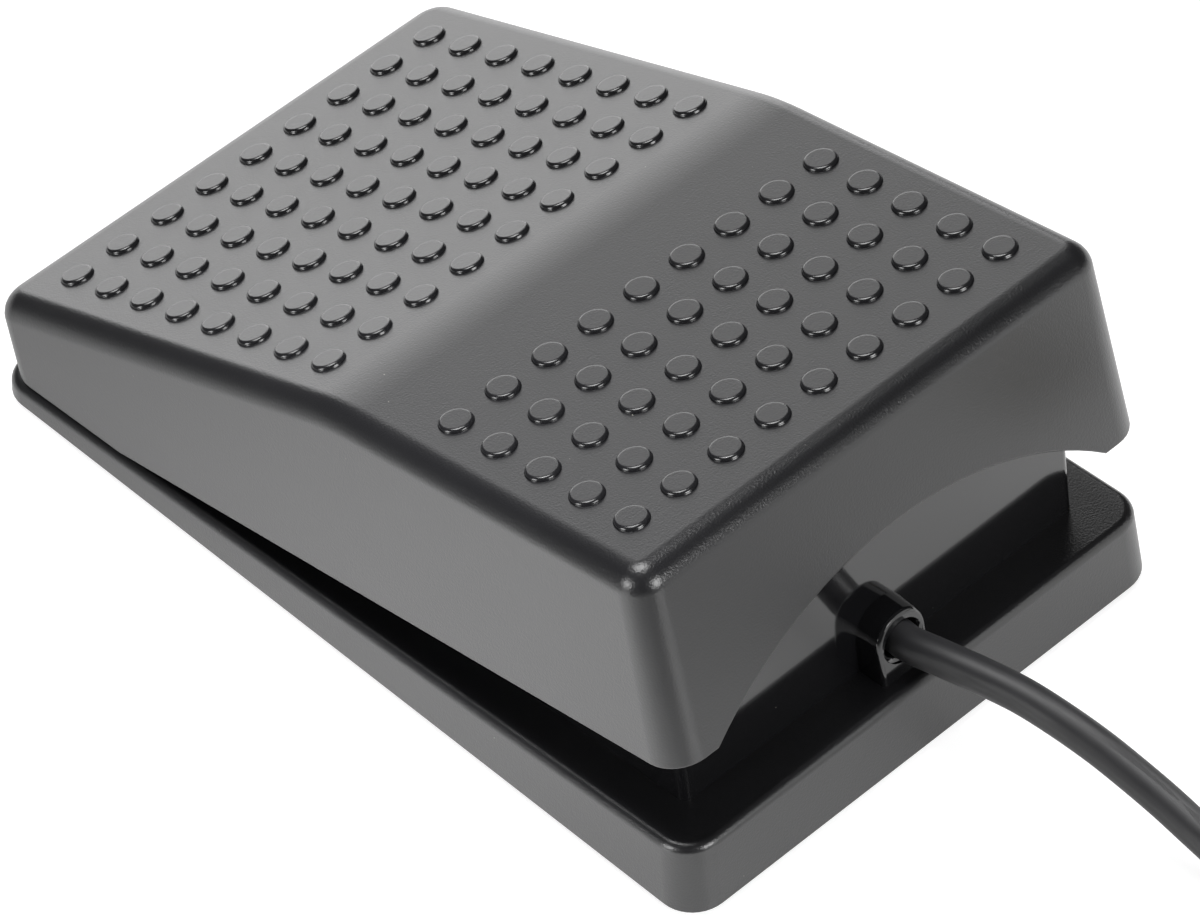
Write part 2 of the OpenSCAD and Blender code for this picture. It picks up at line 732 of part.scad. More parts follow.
module board_capacitors() {
    for (y = capacitor_y) color("#c8b48a") translate([0, board_y + y, board_top])
        cylinder(d = capacitor_d, h = capacitor_h);
}
module board_resistors() {
    at = [resistor_at.x, board_y + resistor_at.y, board_top + resistor_size.z / 2];
    for (i = [0:4]) color("#202022") translate(at + [0, resistor_pitch * i, 0])
        cube(resistor_size, center = true);
}
module header_socket() {
    color("#f0eee4") difference() {
        translate([-header_w / 2, header_y - header_l / 2, board_top])
            cube([header_w, header_l, header_h]);
        translate([-header_w / 2, header_y - header_l / 2, board_top] + header_wall * [1, 1, 1])
            cube([header_w - 2 * header_wall, header_l, header_h - 2 * header_wall]);
    }
}
module header_plug() {
    in = header_inside;
    color("#e2dfd2") translate([-header_w / 2 + in, header_y - header_l / 2 + in, board_top + in])
        cube([header_w - 2 * in, header_l + header_out, header_h - 2 * in]);
}
module lead_wires() {
    colours = ["#b02020", "#f0f0f0", "#208030", "#202020"];
    start_z = board_top + header_h / 2;
    run = inner_start - header_end;
    straight = 0.1;
    for (i = [0:3]) {
        x0 = (i - 1.5) * lead_pitch;
        x1 = i < 2 ? -lead_spread : lead_spread;
        z1 = exit_z + (i % 2 == 0 ? lead_spread : -lead_spread);
        route = [
            for (s = [0, straight, 0.3, 0.5, 0.7, 1 - straight, 1])
                let (turn = ease((s - straight) / (1 - 2 * straight)))
                [x0 + (x1 - x0) * turn, header_end + run * s, start_z + (z1 - start_z) * turn]
        ];
        color(colours[i]) tube(route, lead_r, 6);
    }
}
module cable_inner() {
    color("#1c1c1e") translate([0, inner_end, exit_z]) rotate([90, 0, 0])
        cylinder(d = cable_d, h = inner_end - inner_start);
}
module cable_clamp() {
    w = 2 * (clamp_screw_x + small_post_r);
    color("#303032") difference() {
        translate([-w / 2, clamp_y - clamp_l / 2, clamp_z - clamp_t]) cube([w, clamp_l, clamp_t]);
        for (x = SIDES) translate([x * clamp_screw_x, clamp_y, clamp_z - clamp_t - 1])
            cylinder(r = small_screw_r + screw_slack, h = clamp_t + 2);
    }
}

// Snap switch
module switch_case() {
    cheek_x = lever_w / 2 + cheek_gap;
    cheek_r = knuckle_r + 0.2;
    color("#18181a") difference() {
        union() {
            translate([-switch_w / 2, switch_y - switch_l / 2, board_top])
                cube([switch_w, switch_l, switch_h]);
            for (x = SIDES) across(x > 0 ? cheek_x : -cheek_x - cheek_t, cheek_t) {
                translate([lever_y, lever_z]) circle(cheek_r);
                translate([lever_y - cheek_r, case_top - EPS]) square([2 * cheek_r, lever_up]);
            }
        }
        across(-switch_w, 2 * switch_w) translate([lever_y, lever_z]) circle(lever_pin_r + lever_pin_gap);
        translate([0, plunger_y, case_top - plunger_sunk - plunger_travel])
            cylinder(d = plunger_d + 2 * plunger_gap, h = plunger_sunk + plunger_travel + 1);
    }
}
module switch_pins() {
    at = [-switch_pin.x / 2, switch_y - switch_pin.y / 2, board_z - switch_pin.z];
    for (i = [-1:1]) color("#c8c8cc") translate(at + [0, switch_pin_pitch * i, 0]) cube(switch_pin);
}
module switch_lever() {
    color("#d4d4d8") {
        across(-lever_w / 2, lever_w) translate([lever_y, lever_z]) {
            circle(knuckle_r);
            rotate(180 - lever_tilt) translate([0, -lever_t / 2]) square([lever_l, lever_t]);
        }
        across(-lever_w / 2 - cheek_gap - cheek_t, lever_w + 2 * (cheek_gap + cheek_t))
            translate([lever_y, lever_z]) circle(lever_pin_r);
    }
}
module switch_plunger() {
    color("#c03028") translate([0, plunger_y, case_top - plunger_sunk])
        cylinder(d = plunger_d, h = plunger_top - case_top + plunger_sunk);
}

// Pedal
module pedal_insides() {
    reach = pedal_h + rim_rise;
    for (x = SIDES) {
        across(x > 0 ? ear_x : -ear_out, ear_t) difference() {
            union() {
                translate([pivot_y, pivot_z]) circle(ear_r);
                translate([pivot_y - ear_r, pivot_z]) square([2 * ear_r, reach]);
            }
            translate([pivot_y, pivot_z]) circle(d = bush_d);
        }
        translate([x * spring_x, spring_y, spring_seat_z]) cylinder(r = spring_seat_r, h = reach);
        translate([x * spring_x, spring_y, spring_seat_z - spring_post_h])
            cylinder(r = spring_post_r, h = reach);
        translate([x * stop_x - stop_d / 2, stop_y - 1.5, rib_z]) cube([stop_d, 3, reach]);
    }
    across(-push_w / 2, push_w) {
        translate([push_y, push_z + push_r]) circle(push_r);
        translate([push_y - push_r, push_z + push_r]) square([2 * push_r, reach]);
    }
}

module pedal_cover() {
    color("#2f2f31") difference() {
        union() {
            difference() {
                pedal_frame() pedal_form(0, pedal_edge, 0, bend_flats);
                pedal_frame() pedal_form(pedal_wall, inner_edge, -1, 1);
            }
            intersection() {
                pedal_insides();
                pedal_frame() pedal_form(pedal_wall / 2, middle_edge, -rim_rise, 1);
            }
        }
        below_flange(rest_gap);
        pedal_frame() translate([0, 1, arch_h - arch_r]) rotate([90, 0, 0])
            cylinder(r = arch_r, h = pedal_wall + 2.5, $fn = 96);
    }
}

module grip_dot() {
    r = dot_d / 2;
    rotate_extrude()
        polygon([[0, 0], [r, 0], [r - dot_rim * 0.3, dot_h * 0.6], [r - dot_rim, dot_h], [0, dot_h]]);
}
module dot_row() {
    half = (dots_across - 1) / 2;
    for (i = [-half:half]) translate([i * dot_pitch_x, 0, 0]) grip_dot();
}
module front_grip_dots() {
    color("#303032") pedal_frame() translate([0, -ridge_back, pedal_h]) rotate([slope_step, 0, 0])
        for (k = [0:front_rows_fit - 1]) translate([0, -front_row_gap - k * dot_pitch_y, 0]) dot_row();
}
module rear_grip_dots() {
    color("#303032") pedal_frame() translate([0, 0, pedal_h])
        for (k = [0:rear_rows_fit - 1]) translate([0, -rear_row_gap - k * dot_pitch_y, 0]) dot_row();
}

// Cable outside the base
module cable() {
    color("#1c1c1e") tube(cable_route, cable_d / 2, 8);
}
module cable_coil() {
    color("#1c1c1e") tube(coil_path, cable_d / 2, 6);
}
module cable_tail() {
    color("#1c1c1e") tube(tail_route, cable_d / 2, 8);
}
module coil_tie() {
    w = coil_outer - coil_inner + cable_d + 2 * tie_gap;
    h = (coil_layers - 1) * coil_step + cable_d + 0.3;
    color("#101012") translate([coil_at.x - coil_mid / 2, coil_at.y + tie_w / 2, tie_t + h / 2 + 0.05])
        rotate([90, 0, 0]) linear_extrude(tie_w) difference() {
            rounded_rect(w + 2 * tie_t, h + 2 * tie_t, 2);
            rounded_rect(w, h, 1.2);
        }
}

// Plug, lying on the coil and pointing back along -Y
module plug_frame() {
    translate([coil_at.x, plug_y, plug_z]) rotate([90, 0, 0]) children();
}
module plug_overmould() {
    color("#1c1c1e") plug_frame() {
        cylinder(r1 = relief_r[0], r2 = relief_r[1], h = relief_l + EPS);
        translate([0, 0, relief_l]) linear_extrude(plug_l) rounded_rect(plug_w, plug_t, 1.6);
    }
}
module plug_shell() {
    color("#c8c8cc") plug_frame() translate([0, 0, relief_l + plug_l]) linear_extrude(shell_l)
        difference() {
            square([shell_w, shell_t], center = true);
            square([shell_w - 2 * sheet_t, shell_t - 2 * sheet_t], center = true);
        }
}
module plug_tongue() {
    color("#f0f0ee") plug_frame()
        translate([-shell_w / 2 + sheet_t, shell_t / 2 - sheet_t - tongue_t, relief_l + plug_l])
            cube([shell_w - 2 * sheet_t, tongue_t, shell_l - 0.8]);
}
module plug_contacts() {
    for (x = [-3.5, -1, 1, 3.5]) color("#d8b050") plug_frame()
        translate([x - 0.5, shell_t / 2 - sheet_t - tongue_t - contact_t, relief_l + plug_l + 8])
            cube([1, contact_t, 9]);
}

base_housing();
bottom_plate();
for (i = [1:4]) {
    rubber_foot(i);
    plate_screw(i);
    board_screw(i);
}
pivot_pin();
for (x = SIDES) {
    end = x < 0 ? "left" : "right";
    pin_clip(x);
    return_spring(x);
    bump_stop(x);
    clamp_screw(x);
    pivot_bush(x);
}
circuit_board();
controller_chip();
crystal();
board_capacitors();
board_resistors();
header_socket();
header_plug();
lead_wires();
cable_inner();
cable_clamp();
switch_case();
switch_pins();
switch_lever();
switch_plunger();
pedal_cover();
front_grip_dots();
rear_grip_dots();
cable();
cable_coil();
cable_tail();
coil_tie();
plug_overmould();
plug_shell();
plug_tongue();
plug_contacts();
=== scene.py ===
"""Looks of a foot pedal switch with a USB lead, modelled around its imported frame.

Meshes are modelled in metres, in the frame's own axes: +Y is the cable end, +Z is up.
"""

import json
import math

import bmesh
import bpy
from bpy.props import FloatProperty, FloatVectorProperty, IntProperty, PointerProperty
from mathutils import Matrix, Vector

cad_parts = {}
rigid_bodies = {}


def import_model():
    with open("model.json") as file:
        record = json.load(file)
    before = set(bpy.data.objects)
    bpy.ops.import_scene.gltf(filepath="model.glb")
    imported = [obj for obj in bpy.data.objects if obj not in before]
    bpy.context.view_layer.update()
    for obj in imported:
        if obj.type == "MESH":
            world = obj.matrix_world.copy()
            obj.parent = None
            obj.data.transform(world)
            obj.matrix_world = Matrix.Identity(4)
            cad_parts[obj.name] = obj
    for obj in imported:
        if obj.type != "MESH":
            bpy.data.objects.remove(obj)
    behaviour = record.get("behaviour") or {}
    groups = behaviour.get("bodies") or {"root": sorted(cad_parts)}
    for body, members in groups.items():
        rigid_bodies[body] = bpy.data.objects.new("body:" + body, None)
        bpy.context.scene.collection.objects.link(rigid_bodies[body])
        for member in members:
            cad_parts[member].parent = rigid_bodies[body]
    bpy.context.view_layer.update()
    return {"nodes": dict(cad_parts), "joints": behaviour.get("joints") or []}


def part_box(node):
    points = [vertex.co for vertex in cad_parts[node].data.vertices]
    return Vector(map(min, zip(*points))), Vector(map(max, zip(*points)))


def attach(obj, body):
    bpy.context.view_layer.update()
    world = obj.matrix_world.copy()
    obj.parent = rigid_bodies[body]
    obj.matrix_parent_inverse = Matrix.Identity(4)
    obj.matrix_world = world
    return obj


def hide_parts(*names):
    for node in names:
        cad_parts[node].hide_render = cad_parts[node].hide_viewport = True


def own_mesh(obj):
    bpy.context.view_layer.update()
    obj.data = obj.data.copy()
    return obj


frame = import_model()

bl_info = {
    "name": "Foot Pedal Switch",
    "version": (1, 0, 0),
    "blender": (4, 5, 0),
    "location": "3D View > Sidebar > Foot Pedal",
    "description": "Dresses the frame of a foot pedal switch with its shells, cord and finishes",
    "category": "Object",
}

MM = 0.001
SIDES = (-1, 1)
SIDE_NAMES = {-1: "left", 1: "right"}
FOUR = range(1, 5)


def linear(hex_colour):
    """Linear RGBA of an sRGB hex colour."""
    channels = [int(hex_colour[i:i + 2], 16) / 255 for i in (1, 3, 5)]
    return [c / 12.92 if c <= 0.04045 else ((c + 0.055) / 1.055) ** 2.4 for c in channels] + [1.0]


def length(name, description, millimetres):
    """A length that a user can change, in metres on the panel."""
    return FloatProperty(name=name, description=description, default=millimetres * MM,
                         unit="LENGTH", precision=5)


def angle(name, description, degrees):
    """An angle that a user can change."""
    return FloatProperty(name=name, description=description, default=math.radians(degrees),
                         subtype="ANGLE", unit="ROTATION")


def colour(name, description, hex_colour):
    """A colour that a user can change."""
    return FloatVectorProperty(name=name, description=description, default=linear(hex_colour),
                               subtype="COLOR", size=4, min=0, max=1)


BASE_LOW, BASE_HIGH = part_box("base_housing")
STOP_LOW, STOP_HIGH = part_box("bump_stop_left")
STOP_MIDDLE = (STOP_LOW + STOP_HIGH) / 2
SPRING_LOW, SPRING_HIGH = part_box("return_spring_left")
SPRING_MIDDLE = (SPRING_LOW + SPRING_HIGH) / 2
PIVOT = Vector(next(j for j in frame["joints"] if j["name"] == "pedal_press")["pos_m"])
# Lays a round solid's axis along the pivot pin
PIN_LINE = Matrix.Translation((0, PIVOT.y, PIVOT.z)) @ Matrix.Rotation(math.pi / 2, 4, "Y")
# Stands an outline upright: its first measure runs along the base, its second up, its normal across
ACROSS = Matrix(((0, 0, 1, 0), (1, 0, 0, 0), (0, 1, 0, 0), (0, 0, 0, 1)))


class FootPedalBase(bpy.types.PropertyGroup):
    """Sizes of the base."""

    width: length("Width", "Width of the base at the floor", (BASE_HIGH.x - BASE_LOW.x) / MM)
    length: length("Length", "Length of the base at the floor", (BASE_HIGH.y - BASE_LOW.y) / MM)
    underside: length("Underside", "Height of the base's underside on its feet", BASE_LOW.z / MM)
    corner: length("Corner", "Corner radius of the base at the floor", 4)
    draft: angle("Draft", "Lean of the base's sides", 4)
    flange_low: length("Low flange", "Height of the flange at the pivot end", 2.3)
    flange_high: length("High flange", "Height of the flange at the cable end", 8.7)
    fillet: length("Fillet", "Rounding of the flange's top edge", 1)
    box_width: length("Box width", "Width of the raised box inside the pedal", 52.6)
    box_front: length("Box front", "Place of the box's pivot end wall", -26)
    box_back: length("Box back", "Place of the box's cable end wall", 45.1)
    box_step: length("Box step", "Place of the step between the decks", 8)
    box_wall: length("Box wall", "Wall of the box", 2)
    low_deck: length("Low deck", "Height of the low deck", 17.3)
    high_deck: length("High deck", "Height of the high deck", STOP_LOW.z / MM)
    boss_radius: length("Boss radius", "Outer radius of the cable boss", 3.2)
    boss_length: length("Boss length", "How far the boss stands out of the box's wall", 3.4)
    hole_radius: length("Hole radius", "Radius of the cable's hole in the boss", 2.1)


class FootPedalCover(bpy.types.PropertyGroup):
    """Sizes of the pedal and its grip dots."""

    width: length("Width", "Width of the pedal at its rim", 62.6)
    length: length("Length", "Length of the pedal at its rim", 102.5)
    height: length("Height", "Height of the rear slope above the rim", 23)
    wall: length("Wall", "Wall of the pedal", 2.2)
    corner: length("Corner", "Corner radius of the pedal at its rim", 3.8)
    edge: length("Edge", "Rounding of the pedal's top edges", 2.6)
    side_draft: angle("Side draft", "Lean of the long sides", 2.7)
    end_draft: angle("End draft", "Lean of the end walls", 0.5)
    rim_tilt: angle("Rim tilt", "Tilt of the rim at rest", 11)
    rim_back: length("Rim back", "Place of the rim's cable end", 50.7)
    rim_height: length("Rim height", "Height of the rim's cable end", 20.7)
    ridge_back: length("Ridge", "From the rim's cable end to the ridge between the slopes", 45)
    slope_step: angle("Slope step", "Angle between the two slopes", 11)
    bend: length("Bend", "Radius of the bend between the slopes", 35)
    arch_height: length("Arch height", "Height of the arch in the cable end wall", 9.8)
    arch_radius: length("Arch radius", "Radius of the arch", 39)
    rest_gap: length("Rest gap", "Gap between the skirt and the flange at rest", 0.3)
    dot_radius: length("Dot radius", "Radius of a grip dot", 1.8)
    dot_height: length("Dot height", "Height of a grip dot", 0.42)
    dot_rim: length("Dot rim", "Rounding of a grip dot's rim", 0.36)
    dot_pitch_across: length("Pitch across", "Spacing of the dots across the pedal", 6)
    dot_pitch_along: length("Pitch along", "Spacing of the dots along the pedal", 6.25)
    dots_across: IntProperty(name="Dots across", description="Dots in a row", default=9)
    front_rows: IntProperty(name="Front rows", description="Rows on the front slope", default=8)
    rear_rows: IntProperty(name="Rear rows", description="Rows on the rear slope", default=5)
    front_row_gap: length("Front row gap", "From the ridge to the first row in front of it", 7.3)
    rear_row_gap: length("Rear row gap", "From the rim's cable end to the first rear row", 7.7)


class FootPedalCord(bpy.types.PropertyGroup):
    """Sizes of the cord, its coil and its plug."""

    diameter: length("Diameter", "Diameter of the cable", 3.7)
    exit_place: length("Exit place", "Where the free cable starts, inside the boss", 47.5)
    exit_height: length("Exit height", "Height of the cable's exit", 13.4)
    coil_turns: IntProperty(name="Coil turns", description="Turns of the put-away coil", default=13)
    coil_layers: IntProperty(name="Coil layers", description="Layers of the coil", default=4)
    coil_middle: length("Coil middle", "Diameter of the coil at the middle of its turns", 41)
    coil_step: length("Coil step", "Spacing of neighbouring turns", 4.2)
    coil_x: length("Coil across", "Place of the coil's middle across", -34.3)
    coil_y: length("Coil along", "Place of the coil's middle along", 110)
    coil_height: length("Coil height", "Height of the lowest layer's middle", 2.85)
    plug_place: length("Plug place", "Where the cable enters the plug, along", 118)
    plug_height: length("Plug height", "Height of the plug's middle", 21.1)
    relief: length("Relief", "Length of the plug's strain relief", 9)
    grip: length("Grip", "Length of the plug's moulded grip", 22)
    grip_width: length("Grip width", "Width of the plug's moulded grip", 15.6)
    grip_height: length("Grip height", "Thickness of the plug's moulded grip", 7.6)
    shell: length("Shell", "Length of the plug's metal shell", 18.75)
    shell_width: length("Shell width", "Width of the plug's metal shell", 12)
    shell_height: length("Shell height", "Thickness of the plug's metal shell", 4.5)
    sheet: length("Sheet", "Sheet of the plug's metal shell", 0.3)


class FootPedalColours(bpy.types.PropertyGroup):
    """Colours of the finishes that show most."""

    plastic: colour("Plastic", "Black moulded plastic of the pedal and base", "#19191b")
    cable: colour("Cable", "Jacket of the cable and plug", "#19191b")
    rubber: colour("Rubber", "Feet and bump stops", "#333334")
    floor: colour("Floor", "Plain studio floor", "#ffffff")


class FootPedalStage(bpy.types.PropertyGroup):
    """Camera and light."""

    camera_at: FloatVectorProperty(name="Camera", description="Place of the camera", subtype="XYZ",
                                   unit="LENGTH", default=(0.3006129, 0.3739214, 0.5080287))
    camera_aim: FloatVectorProperty(name="Aim", description="Point at the picture's middle", subtype="XYZ",
                                    unit="LENGTH", default=(-0.0044227, 0.0001644, 0.0))
    camera_roll: angle("Roll", "Clockwise roll of the camera", 5.4163)
    camera_lens: FloatProperty(name="Lens", description="Focal length on a 36 mm wide sensor",
                               default=208.64, unit="CAMERA")
    surround: FloatProperty(name="Surround", description="Brightness of the dim studio round the lamps",
                            default=0.05, min=0)
    lamps: FloatProperty(name="Lamps", description="Brightness of all the lamps, 1 as set up", default=1.0,
                         min=0)


# Mesh helpers

def loft(bm, rings, closed=True):
    """Quads between rings of equally many corners; returns the rings' vertices."""
    made = [[bm.verts.new(p) for p in ring] for ring in rings]
    for low, high in zip(made, made[1:]):
        count = len(low)
        for i in range(count if closed else count - 1):
            j = (i + 1) % count
            bm.faces.new((low[i], low[j], high[j], high[i]))
    return made


def capped_loft(rings):
    """A closed solid: rings joined by quads, with a flat face on both ends."""
    bm = bmesh.new()
    made = loft(bm, rings)
    bm.faces.new(reversed(made[0]))
    bm.faces.new(made[-1])
    return bm


def lathe(profile, axis, segments=32):
    """A closed solid of revolution: profile holds radius and height, axis maps +Z to its line."""
    turns = [2 * math.pi * i / segments for i in range(segments)]
    return capped_loft([
        [axis @ Vector((r * math.cos(t), r * math.sin(t), h)) for t in turns] for r, h in profile
    ])


def slab(outline, low, high, axes):
    """An outline pushed along its normal from low to high; axes maps it into place."""
    return capped_loft([[axes @ Vector((u, v, h)) for u, v in outline] for h in (low, high)])


def outline_stops(side_marks, back_marks, front_marks, corner_steps=8):
    """Stops round a rounded rectangle, anticlockwise from its right side."""
    quarter = [i / corner_steps for i in range(corner_steps + 1)]
    stops = [("side", 1, y) for y in side_marks]
    stops += [("corner", 0, q) for q in quarter]
    stops += [("end", 1, t) for t in reversed(back_marks)]
    stops += [("corner", 1, q) for q in quarter]
    stops += [("side", -1, y) for y in reversed(side_marks)]
    stops += [("corner", 2, q) for q in quarter]
    stops += [("end", -1, t) for t in front_marks]
    stops += [("corner", 3, q) for q in quarter]
    return stops


def stop_point(stop, half, back, front, radius):
    """Place of a stop on a rounded rectangle."""
    kind, which, place = stop
    if kind == "side":
        return which * half, place
    if kind == "end":
        return place * (half - radius), back if which > 0 else front
    turn = (which + place) * math.pi / 2
    centre_x = (half - radius) * (1 if which in (0, 3) else -1)
    centre_y = back - radius if which in (0, 1) else front + radius
    return centre_x + radius * math.cos(turn), centre_y + radius * math.sin(turn)


# Corners of a drafted shell are never sharper than this radius
LEAST_CORNER = 0.25 * MM


def drafted_ring(stops, half, back, front, corner, inset, height, lean, narrowing=0.0):
    """One ring of a drafted shell: height gives z at a place, lean the walls' lean at that height.

    The corners' radius falls by narrowing for each unit of height.
    """
    middle, reach = (back + front) / 2, (back - front) / 2
    ring = []
    for stop in stops:
        place = stop_point(stop, half - inset, back - inset, front + inset, corner)
        radius = max(corner - inset - narrowing * height(*place), LEAST_CORNER)
        x, y = stop_point(stop, half - inset, back - inset, front + inset, radius)
        in_x, in_y = lean(height(x, y))
        x *= 1 - in_x / half
        y = middle + (y - middle) * (1 - in_y / reach)
        ring.append(Vector((x, y, height(x, y))))
    return ring


def quarter_round(radius, steps, start=0.0):
    """Inset and drop along a rounded edge, from the wall to the top."""
    turns = [start + (math.pi / 2 - start) * i / steps for i in range(steps + 1)]
    return [(radius * (1 - math.cos(t)), radius * (1 - math.sin(t))) for t in turns]


def half_turn(steps):
    """Angles over half a turn."""
    return [math.pi * i / steps for i in range(steps + 1)]


def smooth_path(points, steps):
    """Points along a smooth curve through the given ones."""
    points = [Vector(p) for p in points]
    ends = [2 * points[0] - points[1]] + points + [2 * points[-1] - points[-2]]
    path = []
    for a, b, c, d in zip(ends, ends[1:], ends[2:], ends[3:]):
        for i in range(steps):
            t = i / steps
            path.append(0.5 * (2 * b + (c - a) * t + (2 * a - 5 * b + 4 * c - d) * t * t
                               + (3 * b - a - 3 * c + d) * t ** 3))
    return path + [points[-1]]


def tube(path, radius, sides):
    """A closed tube along a path, its rings kept from twisting."""
    last = len(path) - 1
    headings = [(path[min(i + 1, last)] - path[max(i - 1, 0)]).normalized() for i in range(last + 1)]
    across = headings[0].orthogonal().normalized()
    rings = []
    for point, heading in zip(path, headings):
        across = (across - heading * across.dot(heading)).normalized()
        up = heading.cross(across)
        rings.append([point + radius * (across * math.cos(t) + up * math.sin(t))
                      for t in (2 * math.pi * k / sides for k in range(sides))])
    return capped_loft(rings)


def beside(side, middle):
    """Upright axes over a place on the base, on its left or on its right."""
    return Matrix.Translation((side * abs(middle.x), middle.y, 0))


def mesh_of(name, bm, materials=()):
    """A mesh of what was modelled, with its materials."""
    mesh = bpy.data.meshes.new(name)
    bm.to_mesh(mesh)
    bm.free()
    for material in materials:
        mesh.materials.append(material)
    return mesh


def placed(name, data):
    """A new object in the scene."""
    obj = bpy.data.objects.new(name, data)
    bpy.context.scene.collection.objects.link(obj)
    return obj


def joined(parts):
    """Several meshes in one, left as separate shells."""
    bm = bmesh.new()
    for part in parts:
        mesh = mesh_of("part", part)
        bm.from_mesh(mesh)
        bpy.data.meshes.remove(mesh)
    return bm


def combined(body, adds=(), cuts=()):
    """A solid with others added to it and then cut out of it."""
    def stand_in(bm, home):
        bmesh.ops.recalc_face_normals(bm, faces=bm.faces)
        obj = bpy.data.objects.new("stand_in", mesh_of("stand_in", bm))
        home.objects.link(obj)
        return obj

    scene = bpy.context.scene
    homes = []
    obj = stand_in(body, scene.collection)
    for operation, solids in (("UNION", adds), ("DIFFERENCE", cuts)):
        if not solids:
            continue
        home = bpy.data.collections.new("stand_ins")
        scene.collection.children.link(home)
        homes.append(home)
        for solid in solids:
            stand_in(solid, home)
        modifier = obj.modifiers.new(operation, "BOOLEAN")
        modifier.operation = operation
        modifier.solver = "EXACT"
        modifier.operand_type = "COLLECTION"
        modifier.collection = home
    result = bpy.data.meshes.new_from_object(obj.evaluated_get(bpy.context.evaluated_depsgraph_get()))
    bm = bmesh.new()
    bm.from_mesh(result)
    bpy.data.meshes.remove(result)
    for stand in [obj] + [o for home in homes for o in home.objects]:
        mesh = stand.data
        bpy.data.objects.remove(stand)
        bpy.data.meshes.remove(mesh)
    for home in homes:
        bpy.data.collections.remove(home)
    if not bm.faces:
        raise RuntimeError("a solid came out empty")
    return bm


def new_piece(name, bm, materials, body, replaced=(), sharp=35):
    """A piece that moves with a body, smooth except at edges sharper than so many degrees."""
    bmesh.ops.recalc_face_normals(bm, faces=bm.faces)
    mesh = mesh_of(name, bm, materials)
    mesh.shade_smooth()
    mesh.set_sharp_from_angle(angle=math.radians(sharp))
    obj = placed(name, mesh)
    obj.modifiers.new("Even normals", "WEIGHTED_NORMAL").keep_sharp = True
    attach(obj, body)
    if replaced:
        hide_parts(*replaced)
    return obj


# Materials

def add_node(tree, kind, settings):
    """One shader node: each setting is a property, a socket's value or an output to link to it."""
    node = tree.nodes.new(kind)
    for key, value in settings.items():
        if isinstance(key, str) and hasattr(node, key):
            setattr(node, key, value)
        elif isinstance(value, bpy.types.NodeSocket):
            tree.links.new(value, node.inputs[key])
        else:
            node.inputs[key].default_value = value
    return node


def new_material(name):
    """A material whose node tree is still empty."""
    material = bpy.data.materials.new(name)
    material.use_nodes = True
    material.node_tree.nodes.clear()
    return material


# Dust lies one speck to a cell, the largest of this radius
DUST_CELL_MM = 3.5
DUST_RADIUS_MM = 0.09
DUST_COLOUR = "#9a9890"
# Most of a noise texture's values lie in this span
NOISE_LOW, NOISE_HIGH = 0.25, 0.75


def finish(name, base, metallic=0.0, rough=0.4, rough_vary=0.04, ior=1.5, specular=0.5, mottle=0.06,
           mottle_mm=6.0, grain_mm=0.3, grain_um=4.0, stretch=(1, 1, 1), coat=0.0, dust=0.0):
    """A finish with uneven colour and gloss, a fine grain and, where asked, specks of dust."""
    found = bpy.data.materials.get(name)
    if found:
        return found
    material = new_material(name)
    tree = material.node_tree
    place = add_node(tree, "ShaderNodeTexCoord", {}).outputs["Object"]
    along = add_node(tree, "ShaderNodeVectorMath", {"operation": "MULTIPLY", 0: place, 1: stretch})
    cloud = add_node(tree, "ShaderNodeTexNoise", {
        "Vector": place, "Scale": 1 / (mottle_mm * MM), "Detail": 3.0, "Roughness": 0.55})
    grain = add_node(tree, "ShaderNodeTexNoise", {
        "Vector": along.outputs[0], "Scale": 1 / (grain_mm * MM), "Detail": 2.0, "Roughness": 0.5})
    shade = add_node(tree, "ShaderNodeMapRange", {
        "Value": cloud.outputs["Fac"], "From Min": NOISE_LOW, "From Max": NOISE_HIGH,
        "To Min": 1 - mottle, "To Max": 1 + mottle})
    gloss = add_node(tree, "ShaderNodeMapRange", {
        "Value": cloud.outputs["Fac"], "From Min": NOISE_LOW, "From Max": NOISE_HIGH,
        "To Min": rough - rough_vary, "To Max": rough + rough_vary})
    surface = add_node(tree, "ShaderNodeMix", {
        "data_type": "RGBA", "blend_type": "MULTIPLY", 0: 1.0, 6: list(base), 7: shade.outputs[0]}).outputs[2]
    if dust:
        specks = add_node(tree, "ShaderNodeTexVoronoi", {"Vector": place, "Scale": 1 / (DUST_CELL_MM * MM)})
        size = add_node(tree, "ShaderNodeMath", {
            "operation": "MULTIPLY", 0: specks.outputs["Color"], 1: DUST_RADIUS_MM / DUST_CELL_MM})
        here = add_node(tree, "ShaderNodeMath", {
            "operation": "LESS_THAN", 0: specks.outputs["Distance"], 1: size.outputs[0]})
        share = add_node(tree, "ShaderNodeMath", {"operation": "MULTIPLY", 0: here.outputs[0], 1: dust})
        surface = add_node(tree, "ShaderNodeMix", {
            "data_type": "RGBA", 0: share.outputs[0], 6: surface, 7: linear(DUST_COLOUR)}).outputs[2]
    bump = add_node(tree, "ShaderNodeBump", {
        "Height": grain.outputs["Fac"], "Distance": grain_um * MM * MM, "Strength": 1.0})
    shader = add_node(tree, "ShaderNodeBsdfPrincipled", {
        "Base Color": surface, "Roughness": gloss.outputs[0], "Normal": bump.outputs[0],
        "Metallic": metallic, "IOR": ior, "Specular IOR Level": specular, "Coat Weight": coat})
    add_node(tree, "ShaderNodeOutputMaterial", {"Surface": shader.outputs[0]})
    return material


# What every finish of the black ABS shares
ABS = {"ior": 1.54, "mottle": 0.05, "mottle_mm": 9}


def moulded_abs(colours):
    """Black ABS from a blasted mould: a soft, grainy sheen of the room, a few dust specks.

    The grain is drawn coarser than the blasting grit, so that it shows in the picture.
    """
    return finish("Moulded black ABS", colours.plastic, rough=0.288, rough_vary=0.01, specular=1.0,
                  grain_mm=0.22, grain_um=28, dust=0.7, **ABS)


